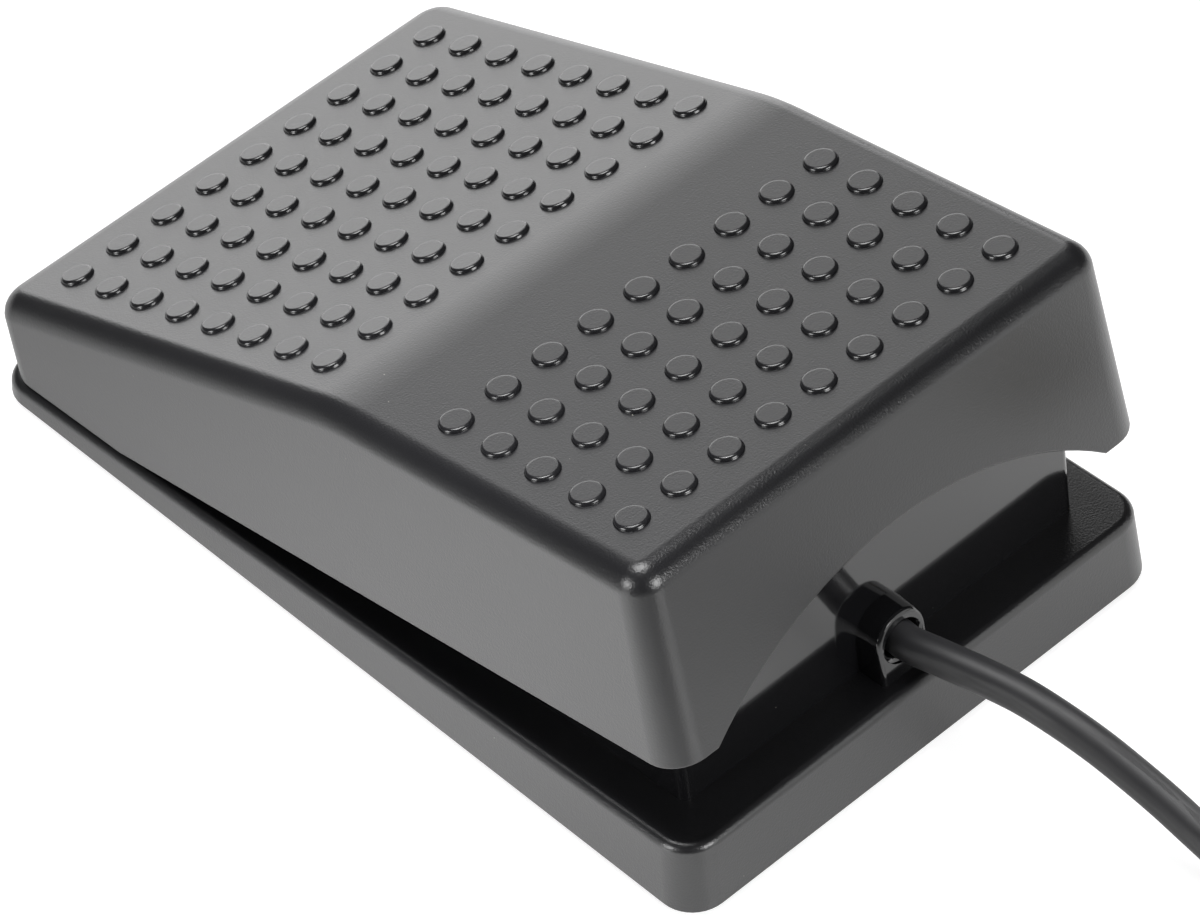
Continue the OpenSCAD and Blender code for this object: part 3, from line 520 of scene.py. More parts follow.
def polished_abs(colours):
    """The same ABS where the mould was polished: a sharper mirror."""
    return finish("Polished black ABS", colours.plastic, rough=0.08, rough_vary=0.01, specular=0.95,
                  grain_mm=0.5, grain_um=0.5, dust=0.5, **ABS)


def worn_abs(colours):
    """The same ABS on the sides of the grip dots, which soles have rubbed: a smeared mirror."""
    return finish("Rubbed black ABS", colours.plastic, rough=0.2, rough_vary=0.02, specular=1.0,
                  grain_mm=0.5, grain_um=0.5, **ABS)


def extruded_pvc(colours):
    """Soft PVC cable jacket, extruded: satin, with a faint uneven skin along its length."""
    return finish("Extruded black PVC", colours.cable, rough=0.45, rough_vary=0.04, ior=1.53, specular=0.7,
                  mottle=0.08, mottle_mm=5, grain_mm=0.5, grain_um=4, dust=0.4)


def foot_rubber(colours):
    """Pressed rubber: dull and slightly pitted, greyed by wear."""
    return finish("Pressed rubber", colours.rubber, rough=0.78, rough_vary=0.08, ior=1.52, specular=0.4,
                  mottle=0.18, mottle_mm=2.5, grain_mm=0.22, grain_um=14, dust=0.8)


# Finishes of the small parts by material slot: name, colour, and how they differ from a plain finish
SMALL_FINISHES = {
    # Pale blue-grey metal with a cloudy passivated film
    "zinc_steel": ("Zinc plated steel", "#b4b8be", dict(
        metallic=1.0, rough=0.3, rough_vary=0.08, mottle=0.12, mottle_mm=1.6, grain_mm=0.12, grain_um=2)),
    # Centreless ground pin: bright metal with fine rings round its axis
    "ground_steel": ("Ground steel", "#c6c7ca", dict(
        metallic=1.0, rough=0.18, rough_vary=0.05, mottle=0.05, mottle_mm=3, grain_mm=0.12, grain_um=1.5,
        stretch=(1, 0.05, 0.05))),
    # Drawn music wire: grey metal with a thin film of oil
    "spring_steel": ("Drawn spring steel", "#9b9da1", dict(
        metallic=1.0, rough=0.26, rough_vary=0.06, mottle=0.1, mottle_mm=1.2, grain_mm=0.1, grain_um=1.2)),
    # Ivory, waxy and smooth
    "acetal": ("Turned acetal", "#e4dfd0", dict(
        rough=0.36, rough_vary=0.05, ior=1.48, mottle=0.04, mottle_mm=2, grain_mm=0.15, grain_um=2)),
    # Board under solder mask: glossy green over a faint weave
    "board_laminate": ("Masked glass epoxy", "#1d5f38", dict(
        rough=0.28, rough_vary=0.06, ior=1.55, mottle=0.22, mottle_mm=1.4, grain_mm=0.5, grain_um=9,
        stretch=(1, 0.25, 1), coat=0.3)),
    # Transfer moulded body of a chip: matt charcoal with a fine spark grain
    "black_epoxy": ("Moulded black epoxy", "#232325", dict(
        rough=0.62, rough_vary=0.06, ior=1.55, mottle=0.08, mottle_mm=1, grain_mm=0.08, grain_um=5)),
    # Drawn sheet: bright warm grey with faint drawing lines
    "nickel_can": ("Nickel plated steel", "#c9c7c2", dict(
        metallic=1.0, rough=0.22, rough_vary=0.06, mottle=0.06, mottle_mm=2.5, grain_mm=0.14, grain_um=1.2,
        stretch=(1, 0.08, 1))),
    # Dipped ceramic capacitor: ochre with a soft shine
    "capacitor_ceramic": ("Dipped ochre resin", "#b98f4e", dict(
        rough=0.4, rough_vary=0.07, mottle=0.1, mottle_mm=0.9, grain_mm=0.2, grain_um=6)),
    # Milky white and faintly rough from the mould
    "header_nylon": ("Moulded natural nylon", "#e9e6da", dict(
        rough=0.45, rough_vary=0.05, ior=1.53, mottle=0.04, mottle_mm=1.5, grain_mm=0.2, grain_um=4)),
    # Satin, darker and a little rougher than the shells
    "clamp_nylon": ("Moulded black nylon", "#222224", dict(
        rough=0.46, rough_vary=0.05, ior=1.53, mottle=0.08, mottle_mm=2, grain_mm=0.25, grain_um=6)),
    # Case of the snap switch: dull black with pale fibre flecks
    "switch_body": ("Glass filled phenolic", "#202022", dict(
        rough=0.55, rough_vary=0.07, ior=1.58, mottle=0.2, mottle_mm=0.6, grain_mm=0.15, grain_um=5)),
    # Hot tinned pins: silvery with a soft, slightly wavy skin
    "tinned_brass": ("Tinned brass", "#c2c0b8", dict(
        metallic=1.0, rough=0.32, rough_vary=0.08, mottle=0.1, mottle_mm=0.8, grain_mm=0.2, grain_um=3)),
    # Bright grey with rolling lines along the lever
    "lever_steel": ("Cold rolled steel strip", "#bcbec2", dict(
        metallic=1.0, rough=0.24, rough_vary=0.06, mottle=0.05, mottle_mm=2, grain_mm=0.1, grain_um=1.5,
        stretch=(1, 0.06, 1))),
    # Smooth with a waxy shine
    "plunger_red": ("Moulded red acetal", "#b5281f", dict(
        rough=0.34, rough_vary=0.05, ior=1.48, mottle=0.05, mottle_mm=1, grain_mm=0.15, grain_um=2)),
    # Warm bright metal, wiped along the plug
    "gold_contact": ("Gold flashed contact", "#d9b25a", dict(
        metallic=1.0, rough=0.2, rough_vary=0.06, mottle=0.08, mottle_mm=1.5, grain_mm=0.1, grain_um=1,
        stretch=(1, 0.06, 1))),
}


def small_finish(slot):
    """Finish of a small part."""
    name, hex_colour, looks = SMALL_FINISHES[slot]
    return finish(name, linear(hex_colour), **looks)


def wire_pvc(hex_colour, word):
    """Thin wall PVC of a lead wire: plain colour with a soft shine."""
    return finish(f"Extruded {word} PVC", linear(hex_colour), rough=0.38, rough_vary=0.05, ior=1.53,
                  mottle=0.06, mottle_mm=1.2, grain_mm=0.2, grain_um=2)


# Stage

SENSOR_WIDTH_MM = 36

# The floor's glow to the camera, and in mirror images, where it fades between two distances from a middle
FLOOR_GLOW = 0.88
FLOOR_MIRRORED = 0.85
FLOOR_MIDDLE = (-0.3, -0.1, 0)
FLOOR_LIT = (0.22, 0.5)
FLOOR_REACH = 4.0
# The paper's own colour, which adds to the glow where lamps reach it and leaves a faint shadow elsewhere
FLOOR_PAPER = "#a8a8a8"

# Lamps that face the object: azimuth and elevation in degrees, distance, width, height and brightness
LAMPS = {
    "Low back softbox": (-122, 4.5, 1.0, 0.66, 0.48, 2.0),
    "High back softbox": (-122, 29, 1.0, 0.66, 0.42, 0.98),
    "Left lamp": (-10, 18, 0.9, 0.36, 0.36, 5.5),
    "Right lamp": (91, 24.6, 0.9, 0.4, 0.4, 6.0),
    "Overhead lamp": (-90, 75.5, 1.2, 0.6, 0.6, 5.6),
    "Overhead fill": (0, 90, 1.2, 0.9, 0.9, 1.6),
    "Cable lamp": (136, 51, 1.2, 0.5, 0.5, 18.0),
}
# Fills the shadows without showing in mirror images
FILL_LAMP = "Overhead fill"
# Lights only what is in its collection
CABLE_LAMP = "Cable lamp"
CABLE_LIGHT = "Lit by the cable lamp"

# Pools of light on the floor beside the object: place, height, width of the cone in degrees and power
POOLS = {
    "Floor light by the side": (0.072, 0.015, 0.5, 19, 19.0),
    "Floor light by the far corner": (-0.055, 0.065, 0.5, 8, 8.0),
}
POOL_LAMP_RADIUS = 0.03

# Glowing white card before the put-away coil, bent back round the cable and seen only in mirror images: its
# corners on the floor, its height, and its glow at both ends, a painted reflection that makes it as bright in
# the shells as the floor
CARD = ((-0.09, 0.079), (-0.016, 0.079), (0.012, 0.1))
CARD_HEIGHT = 0.045
CARD_GLOW = (1.0, 0.66)


def studio_floor(colours):
    """Plain white floor: lit paper that shows as white, with the object's faint shadow on it."""
    material = new_material("White studio floor")
    tree = material.node_tree
    path = add_node(tree, "ShaderNodeLightPath", {})
    mirrored = add_node(tree, "ShaderNodeMath", {
        "operation": "MAXIMUM", 0: path.outputs["Is Glossy Ray"], 1: path.outputs["Is Transmission Ray"]})
    place = add_node(tree, "ShaderNodeTexCoord", {}).outputs["Object"]
    away = add_node(tree, "ShaderNodeVectorMath", {"operation": "DISTANCE", 0: place, 1: FLOOR_MIDDLE})
    near = add_node(tree, "ShaderNodeMapRange", {
        "interpolation_type": "SMOOTHSTEP", "Value": away.outputs["Value"],
        "From Min": FLOOR_LIT[0], "From Max": FLOOR_LIT[1], "To Min": FLOOR_MIRRORED, "To Max": 0.0})
    dimmed = add_node(tree, "ShaderNodeMath", {
        "operation": "MULTIPLY", 0: mirrored.outputs[0], 1: near.outputs[0]})
    seen = add_node(tree, "ShaderNodeMath", {
        "operation": "MULTIPLY", 0: path.outputs["Is Camera Ray"], 1: FLOOR_GLOW})
    glow = add_node(tree, "ShaderNodeMath", {
        "operation": "MAXIMUM", 0: seen.outputs[0], 1: dimmed.outputs[0]})
    lit = add_node(tree, "ShaderNodeEmission", {"Color": list(colours.floor), "Strength": glow.outputs[0]})
    paper = add_node(tree, "ShaderNodeBsdfPrincipled", {
        "Base Color": linear(FLOOR_PAPER), "Roughness": 0.2, "IOR": 1.5, "Specular IOR Level": 0.5})
    both = add_node(tree, "ShaderNodeAddShader", {0: lit.outputs[0], 1: paper.outputs[0]})
    facing = add_node(tree, "ShaderNodeNewGeometry", {})
    clear = add_node(tree, "ShaderNodeBsdfTransparent", {})
    sheet = add_node(tree, "ShaderNodeMixShader", {
        0: facing.outputs["Backfacing"], 1: both.outputs[0], 2: clear.outputs[0]})
    add_node(tree, "ShaderNodeOutputMaterial", {"Surface": sheet.outputs[0]})
    return material


def glowing_card(colours):
    """Glowing white card: plain, brighter at its far end, a painted reflection seen only in mirror images, so
    that the end wall mirrors it as it does the floor.
    """
    material = new_material("Glowing white card")
    tree = material.node_tree
    place = add_node(tree, "ShaderNodeTexCoord", {}).outputs["Object"]
    across = add_node(tree, "ShaderNodeSeparateXYZ", {0: place}).outputs["X"]
    glow = add_node(tree, "ShaderNodeMapRange", {
        "Value": across, "From Min": CARD[0][0] / 2, "From Max": CARD[-1][0],
        "To Min": CARD_GLOW[0], "To Max": CARD_GLOW[1]})
    lit = add_node(tree, "ShaderNodeEmission", {"Color": list(colours.floor), "Strength": glow.outputs[0]})
    add_node(tree, "ShaderNodeOutputMaterial", {"Surface": lit.outputs[0]})
    return material


def place_camera(stage):
    """Camera at the given place, its picture's middle on the aim point, rolled about its line."""
    at, aim = Vector(stage.camera_at), Vector(stage.camera_aim)
    forward = (aim - at).normalized()
    level = forward.cross(Vector((0, 0, 1))).normalized()
    down = forward.cross(level)
    right = level * math.cos(stage.camera_roll) + down * math.sin(stage.camera_roll)
    up = level * math.sin(stage.camera_roll) - down * math.cos(stage.camera_roll)
    data = bpy.data.cameras.new("Camera")
    data.sensor_fit = "HORIZONTAL"
    data.sensor_width = SENSOR_WIDTH_MM
    data.lens = stage.camera_lens
    data.clip_start = 0.01
    camera = placed("Camera", data)
    camera.matrix_world = Matrix.Translation(at) @ Matrix((right, up, -forward)).transposed().to_4x4()
    bpy.context.scene.camera = camera


def add_lamp(name, azimuth, elevation, distance, width, height, brightness):
    """A rectangular lamp that faces the object's middle."""
    a, e = math.radians(azimuth), math.radians(elevation)
    towards = Vector((math.cos(a) * math.cos(e), math.sin(a) * math.cos(e), math.sin(e)))
    data = bpy.data.lights.new(name, "AREA")
    data.shape = "RECTANGLE"
    data.size = width
    data.size_y = height
    data.energy = brightness * math.pi * width * height
    lamp = placed(name, data)
    lamp.location = towards * distance
    lamp.rotation_mode = "QUATERNION"
    lamp.rotation_quaternion = towards.to_track_quat("Z", "Y")
    lamp.visible_glossy = name != FILL_LAMP
    return lamp


def add_pool(name, x, y, height, cone, power):
    """A soft spot straight above the floor, left out of mirror images."""
    data = bpy.data.lights.new(name, "SPOT")
    data.energy = power
    data.spot_size = math.radians(cone)
    data.spot_blend = 1.0
    data.shadow_soft_size = POOL_LAMP_RADIUS
    lamp = placed(name, data)
    lamp.location = (x, y, height)
    lamp.visible_glossy = False


def stage_sheet(name, rows, material):
    """A plain sheet of the stage, between rows of corners."""
    bm = bmesh.new()
    loft(bm, rows, closed=False)
    sheet = placed(name, mesh_of(name, bm, [material]))
    return sheet


class FOOTPEDAL_OT_stage(bpy.types.Operator):
    """Camera, floor, glowing card, dim studio and lamps."""

    bl_idname = "foot_pedal.stage"
    bl_label = "Stage"

    def execute(self, context):
        stage = context.scene.foot_pedal_stage
        colours = context.scene.foot_pedal_colours
        place_camera(stage)
        floor = [[(x * FLOOR_REACH, y * FLOOR_REACH, 0) for x in SIDES] for y in SIDES]
        stage_sheet("studio_floor", floor, studio_floor(colours))
        upright_card = [[(x, y, z) for x, y in CARD] for z in (0, CARD_HEIGHT)]
        # The glowing card is a painted reflection: only mirror images show it
        card = stage_sheet("glowing_white_card", upright_card, glowing_card(colours))
        card.visible_camera = card.visible_diffuse = card.visible_shadow = False
        world = bpy.data.worlds.new("Dim studio")
        world.use_nodes = True
        background = world.node_tree.nodes["Background"]
        background.inputs["Color"].default_value = (1, 1, 1, 1)
        background.inputs["Strength"].default_value = stage.surround
        context.scene.world = world
        lamps = {name: add_lamp(name, *place, brightness * stage.lamps)
                 for name, (*place, brightness) in LAMPS.items()}
        lamps[CABLE_LAMP].light_linking.receiver_collection = bpy.data.collections.new(CABLE_LIGHT)
        for name, (*place, power) in POOLS.items():
            add_pool(name, *place, power * stage.lamps)
        context.scene.view_settings.view_transform = "Standard"
        return {"FINISHED"}


# Cord and plug

# Middle of the free cable from the boss down to the coil
FREE_ROUTE_MM = [
    (0, 49.5, 13.4), (-0.6, 52, 13.4), (-1.4, 55, 13.3), (-2.3, 58, 13), (-3.2, 61.5, 12.6),
    (-4, 65.5, 11.8), (-4.8, 69.5, 10.6), (-5.4, 73, 9.3), (-6, 77, 7.7), (-6.4, 81, 6.1),
    (-6.7, 86, 4.5), (-6.8, 91, 3.5), (-6.9, 96, 3), (-7, 101, 2.9),
]
# Middle of the tail as it turns over the coil towards the plug, from the coil's own middle
TAIL_TURN_MM = [
    (27.2, 7.5, 15.6), (26.2, 13, 16.4), (22.6, 18, 18), (17.4, 20.9, 19.8), (11.4, 21.3, 20.9),
    (5.8, 19.4, 21.2), (1.8, 16, 21.2),
]
ROUTE_STEPS = 6
COIL_POINTS = 48
# Share of a turn in which the cable climbs from one layer to the next
CLIMB = 0.5
CORD_SIDES = 16


def ease(x):
    """Smooth step from 0 to 1."""
    s = min(max(x, 0), 1)
    return s * s * (3 - 2 * s)


def coil_points(cord):
    """Middle of the cable round the coil: in and out layer by layer, climbing where it turns back."""
    layer = cord.coil_turns / cord.coil_layers
    outer = cord.coil_middle / 2 + layer * cord.coil_step / 2
    inner = cord.coil_middle / 2 - layer * cord.coil_step / 2
    points = []
    for i in range(cord.coil_turns * COIL_POINTS + 1):
        t = i / COIL_POINTS
        k = min(int(t / layer), cord.coil_layers - 1)
        s = t / layer - k
        radius = outer + (inner - outer) * (s if k % 2 == 0 else 1 - s)
        climbed = sum(ease((t - j * layer + CLIMB / 2) / CLIMB) for j in range(1, cord.coil_layers))
        points.append(Vector((cord.coil_x + radius * math.cos(2 * math.pi * t),
                              cord.coil_y + radius * math.sin(2 * math.pi * t),
                              cord.coil_height + cord.coil_step * climbed)))
    return points


def cord_path(cord):
    """Middle of the whole cable, from the boss through the coil to the plug."""
    outer = cord.coil_middle / 2 + cord.coil_turns / cord.coil_layers * cord.coil_step / 2
    top = cord.coil_height + (cord.coil_layers - 1) * cord.coil_step
    side = cord.coil_x + outer
    free = [(0, cord.exit_place, cord.exit_height)]
    free += [Vector(p) * MM for p in FREE_ROUTE_MM]
    free += [(side, cord.coil_y - 2 * cord.diameter, cord.coil_height),
             (side, cord.coil_y - cord.diameter, cord.coil_height)]
    tail = [(side, cord.coil_y + cord.diameter, top)]
    tail += [Vector((cord.coil_x, cord.coil_y, 0)) + Vector(p) * MM for p in TAIL_TURN_MM]
    tail += [(cord.coil_x, cord.plug_place + cord.diameter, cord.plug_height),
             (cord.coil_x, cord.plug_place, cord.plug_height)]
    return smooth_path(free, ROUTE_STEPS) + coil_points(cord) + smooth_path(tail, ROUTE_STEPS)


class FOOTPEDAL_OT_cord(bpy.types.Operator):
    """Cable from the boss, its put-away coil and its tail, with the plug on its end."""

    bl_idname = "foot_pedal.cord"
    bl_label = "Cord and plug"

    def execute(self, context):
        cord = context.scene.foot_pedal_cord
        colours = context.scene.foot_pedal_colours
        path = cord_path(cord)
        pvc, nickel, nylon = extruded_pvc(colours), small_finish("nickel_can"), small_finish("clamp_nylon")
        cable = new_piece("usb_cable", tube(path, cord.diameter / 2, CORD_SIDES), [pvc], "base",
                          ("cable", "cable_coil", "cable_tail"))
        grip = new_piece("plug_grip", plug_grip(cord), [pvc], "base", ("plug_overmould",),
                         sharp=50)
        shell = new_piece("plug_tube", plug_tube(cord), [nickel], "base", ("plug_shell",))
        strap = new_piece("coil_strap", coil_strap(), [nylon], "base", ("coil_tie",))
        dress(small_finish("header_nylon"), ["plug_tongue"])
        dress(small_finish("gold_contact"), ["plug_contacts"])
        bpy.data.collections[CABLE_LIGHT].objects.link(cable)
        return {"FINISHED"}


def plug_axes(cord):
    """Places the plug: across, up, and along from the cable to the contacts."""
    return Matrix.Translation((cord.coil_x, cord.plug_place, cord.plug_height)) @ Matrix.Rotation(
        math.pi / 2, 4, "X")


def section(half_width, half_height, radius, steps=6):
    """Rounded rectangle, or a circle where both halves equal the radius."""
    points = []
    for quadrant, (sx, sy) in enumerate(((1, 1), (-1, 1), (-1, -1), (1, -1))):
        for i in range(steps + 1):
            turn = (quadrant + i / steps) * math.pi / 2
            points.append((sx * (half_width - radius) + radius * math.cos(turn),
                           sy * (half_height - radius) + radius * math.sin(turn)))
    return points


def plug_grip(cord):
    """Moulded grip with a grooved strain relief and ribbed flanks."""
    axes = plug_axes(cord)
    relief_start, relief_end, lip = 2.45 * MM, 3.5 * MM, 0.3 * MM
    groove, rings = 0.28 * MM, 6
    sections = [(0, relief_start - lip, relief_start - lip, relief_start - lip)]
    for i in range(rings):
        for part, depth in ((0.08, 0), (0.55, 0), (0.68, groove), (0.92, groove)):
            z = cord.relief * (i + part) / rings
            r = relief_start + (relief_end - relief_start) * (i + part) / rings - depth
            sections.append((z, r, r, r))
    sections.append((cord.relief, relief_end, relief_end, relief_end))
    w, h, edge = cord.grip_width / 2, cord.grip_height / 2, 0.9 * MM
    corner, least_corner = 1.6 * MM, 0.5 * MM
    for inset, drop in reversed(quarter_round(edge, 4)):
        sections.append((cord.relief + drop, w - inset, h - inset, max(corner - inset, least_corner)))
    rib_first, rib_pitch, ribs, rib_depth = cord.relief + 4 * MM, 2 * MM, 6, 0.35 * MM
    for i in range(ribs):
        for part, depth in ((0, 0), (0.2, rib_depth), (0.5, rib_depth), (0.7, 0)):
            sections.append((rib_first + (i + part) * rib_pitch, w - depth, h - depth, corner))
    for inset, drop in quarter_round(edge, 4):
        sections.append((cord.relief + cord.grip - drop, w - inset, h - inset,
                         max(corner - inset, least_corner)))
    return capped_loft([[axes @ Vector((x, y, z)) for x, y in section(a, b, r)] for z, a, b, r in sections])


def plug_tube(cord):
    """Folded metal shell of the plug, with two latch windows on top and two below."""
    axes = plug_axes(cord)
    start, end = cord.relief + cord.grip, cord.relief + cord.grip + cord.shell
    w, h, bend = cord.shell_width / 2, cord.shell_height / 2, 0.5 * MM
    body = slab(section(w, h, bend), start, end, axes)
    inner = slab(section(w - cord.sheet, h - cord.sheet, bend - cord.sheet / 2), start - MM, end + MM, axes)
    hole_width, hole_length, hole_corner = 2.3 * MM, 2.0 * MM, 0.2 * MM
    hole_from_end, hole_x = 6.4 * MM, 2.9 * MM
    hole = section(hole_width / 2, hole_length / 2, hole_corner, 2)
    cuts = [inner]
    for x in SIDES:
        for y in SIDES:
            flat = axes @ Matrix.Translation((x * hole_x, 0, end - hole_from_end)) @ Matrix.Rotation(
                math.pi / 2, 4, "X")
            low, high = sorted((-y * (h - 2 * cord.sheet), -y * (h + MM)))
            cuts.append(slab(hole, low, high, flat))
    return combined(body, cuts=cuts)


def coil_strap():
    """Closed strap round one side of the coil, its edges rounded."""
    low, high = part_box("coil_tie")
    sheet, corner, edge = 0.8 * MM, 2.2 * MM, 0.2 * MM
    w, h, half = (high.x - low.x) / 2, (high.z - low.z) / 2, (high.y - low.y) / 2
    axes = Matrix.Translation((low + high) / 2) @ Matrix.Rotation(math.pi / 2, 4, "X")
    rings = [(-half + drop, inset) for inset, drop in reversed(quarter_round(edge, 3))]
    rings += [(half - drop, inset) for inset, drop in quarter_round(edge, 3)]
    outside = [[axes @ Vector((x, y, z)) for x, y in section(w - i, h - i, corner)] for z, i in rings]
    inside = [[axes @ Vector((x, y, z)) for x, y in section(w - sheet + i, h - sheet + i, corner - sheet)]
              for z, i in reversed(rings)]
    bm = bmesh.new()
    made = loft(bm, outside + inside)
    first, last = made[0], made[-1]
    for i in range(len(first)):
        j = (i + 1) % len(first)
        bm.faces.new((last[i], last[j], first[j], first[i]))
    return bm


# Pedal

def pedal_axes(cover):
    """Places the rim's own frame: y back from the cable end, z up from the rim."""
    return Matrix.Translation((0, cover.rim_back, cover.rim_height)) @ Matrix.Rotation(cover.rim_tilt, 4, "X")


def bend_middle(cover):
    """Middle of the bend between the slopes, in the rim's frame."""
    return cover.bend * math.tan(cover.slope_step / 2) - cover.ridge_back, cover.height - cover.bend


def crown(cover, y, inset):
    """Height of the pedal's top, drawn in by inset, in the rim's frame."""
    middle_y, middle_z = bend_middle(cover)
    arc = cover.bend - inset
    if y >= middle_y:
        return middle_z + arc
    reach = arc * math.sin(cover.slope_step)
    if y >= middle_y - reach:
        return middle_z + math.sqrt(arc * arc - (y - middle_y) ** 2)
    return middle_z + arc * math.cos(cover.slope_step) + (y - middle_y + reach) * math.tan(cover.slope_step)


def flange_rise(base):
    """Height of the flange's top over the middle of the base, and its slope along the base."""
    slope = (base.flange_high - base.flange_low) / base.length
    return base.underside + base.flange_low + slope * base.length / 2, slope


def skirt(base, cover, x, y):
    """Height of the pedal's lower edge: the rim, the arch at the cable end, the flange at the pivot end."""
    rise, slope = flange_rise(base)
    c, s = math.cos(cover.rim_tilt), math.sin(cover.rim_tilt)
    flange = (rise + cover.rest_gap + slope * cover.rim_back - cover.rim_height + y * (slope * c - s)) / (
        c + slope * s)
    arch = 0
    if y > -cover.length / 2 and abs(x) < cover.arch_radius:
        arch = cover.arch_height - cover.arch_radius + math.sqrt(cover.arch_radius ** 2 - x * x)
    return max(0, flange, arch)


def skirt_kink(base, cover):
    """Place along the rim where the flange starts to lift the lower edge."""
    rise, slope = flange_rise(base)
    c, s = math.cos(cover.rim_tilt), math.sin(cover.rim_tilt)
    return (rise + cover.rest_gap + slope * cover.rim_back - cover.rim_height) / (s - slope * c)


def pedal_shell(base, cover):
    """Hollow pedal: two slopes, rounded edges, drafted walls, arched cable end."""
    middle_y = bend_middle(cover)[0]
    bends = 10
    marks = [skirt_kink(base, cover)]
    marks += [middle_y - cover.bend * math.sin(cover.slope_step * (1 - i / bends)) for i in range(bends + 1)]
    half, reach = cover.width / 2, cover.width / 2 - cover.corner
    chord = math.sqrt(cover.arch_radius ** 2 - (cover.arch_radius - cover.arch_height) ** 2)
    spread, arch_steps = math.asin(chord / cover.arch_radius), 28
    back_marks = [cover.arch_radius * math.sin(spread * (2 * i / arch_steps - 1)) / reach
                  for i in range(arch_steps + 1)]
    stops = outline_stops(marks, back_marks, front_marks=[-0.6, 0, 0.6])
    narrowing = 0.6 * MM / cover.height
    lip, inner_edge = 0.35 * MM, 0.8 * MM

    def lean(z):
        return z * math.tan(cover.side_draft), z * math.tan(cover.end_draft)

    def ring(inset, height):
        return drafted_ring(stops, half, 0, -cover.length, cover.corner, inset, height, lean, narrowing)

    rings = []
    for inset, drop in reversed(quarter_round(inner_edge, 3)):
        rings.append(ring(cover.wall + inset, lambda x, y, d=drop: crown(cover, y, cover.wall) - d))
    for inset, drop in quarter_round(lip, 3):
        rings.append(ring(cover.wall - inset, lambda x, y, d=drop: skirt(base, cover, x, y) + d))
    for inset, drop in reversed(quarter_round(lip, 3)):
        rings.append(ring(inset, lambda x, y, d=drop: skirt(base, cover, x, y) + d))
    for inset, drop in quarter_round(cover.edge, 9, cover.side_draft):
        rings.append(ring(inset, lambda x, y, d=drop: crown(cover, y, 0) - d))
    axes = pedal_axes(cover)
    bm = bmesh.new()
    made = loft(bm, [[axes @ p for p in points] for points in rings])
    count = len(marks)
    left = next(i for i, stop in enumerate(stops) if stop[:2] == ("side", -1))
    for cap in (made[0], made[-1]):
        bm.faces.new(cap[count - 1:left + 1])
        bm.faces.new(cap[left + count - 1:] + cap[:1])
        for i in range(count - 1):
            bm.faces.new((cap[i], cap[i + 1], cap[left + count - 2 - i], cap[left + count - 1 - i]))
    return bm


def pedal_top(cover, y):
    """Height over the floor of the middle of the pedal's roof above a place along the base."""
    tilt = math.tan(cover.rim_tilt)
    along = (y - cover.rim_back) / math.cos(cover.rim_tilt)
    rim = cover.rim_height + (y - cover.rim_back) * tilt
    return rim + (crown(cover, along, 0) - cover.wall / 2) * math.cos(cover.rim_tilt)


def pedal_ribs(cover):
    """Ears for the pivot, spring seats, stop ribs and the rib that works the switch."""
    ear_in, ear_out, ear_radius = 21.5 * MM, 24.5 * MM, 3.6 * MM
    bush_low, bush_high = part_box("pivot_bush_left")
    bush_collar = 0.8 * MM
    bush = (bush_high.z - bush_low.z) / 2 - bush_collar
    seat, seat_radius, seat_edge = SPRING_HIGH.z, 5.3 * MM, 0.3 * MM
    # The posts are slim, to clear the wire when the pressed pedal has carried them along
    post, post_radius, post_edge = 2.4 * MM, 1.25 * MM, 0.4 * MM
    seat_profile = [(post_radius - post_edge, seat - post), (post_radius, seat - post + post_edge),
                    (post_radius, seat), (seat_radius - seat_edge, seat), (seat_radius, seat + seat_edge),
                    (seat_radius, pedal_top(cover, SPRING_MIDDLE.y))]
    rib_width, rib_thick, rib_corner = 8 * MM, 3 * MM, 0.5 * MM
    rib_low = STOP_HIGH.z + 9.1 * MM
    push_y, push_z, push_radius, push_width = -19.4 * MM, 19.86 * MM, 1.5 * MM, 6 * MM
    parts, holes = [], []

    def tongue(y, z, radius, low, high):
        """A rib down from the roof, with a round lower end."""
        top = pedal_top(cover, y)
        outline = [(y + radius, top), (y - radius, top)]
        outline += [(y - radius * math.cos(t), z - radius * math.sin(t)) for t in half_turn(16)]
        return slab(outline, low, high, ACROSS)

    for x in SIDES:
        low, high = sorted((x * ear_in, x * ear_out))
        parts.append(tongue(PIVOT.y, PIVOT.z, ear_radius, low, high))
        holes.append(lathe([(bush, low - MM), (bush, high + MM)], PIN_LINE))
        parts.append(lathe(seat_profile, beside(x, SPRING_MIDDLE)))
        parts.append(slab(section(rib_width / 2, rib_thick / 2, rib_corner), rib_low,
                          pedal_top(cover, STOP_MIDDLE.y), beside(x, STOP_MIDDLE)))
    parts.append(tongue(push_y, push_z + push_radius, push_radius, -push_width / 2, push_width / 2))
    return combined(parts[0], parts[1:], holes)


class FOOTPEDAL_OT_pedal(bpy.types.Operator):
    """Pedal shell and the ribs, ears and seats inside it."""

    bl_idname = "foot_pedal.pedal"
    bl_label = "Pedal"

    def execute(self, context):
        base, cover = context.scene.foot_pedal_base, context.scene.foot_pedal_cover
        plastic = moulded_abs(context.scene.foot_pedal_colours)
        new_piece("pedal_shell", pedal_shell(base, cover), [plastic], "pedal", ("pedal_cover",))
        new_piece("pedal_ribs", pedal_ribs(cover), [plastic], "pedal", ("pedal_cover",))
        return {"FINISHED"}


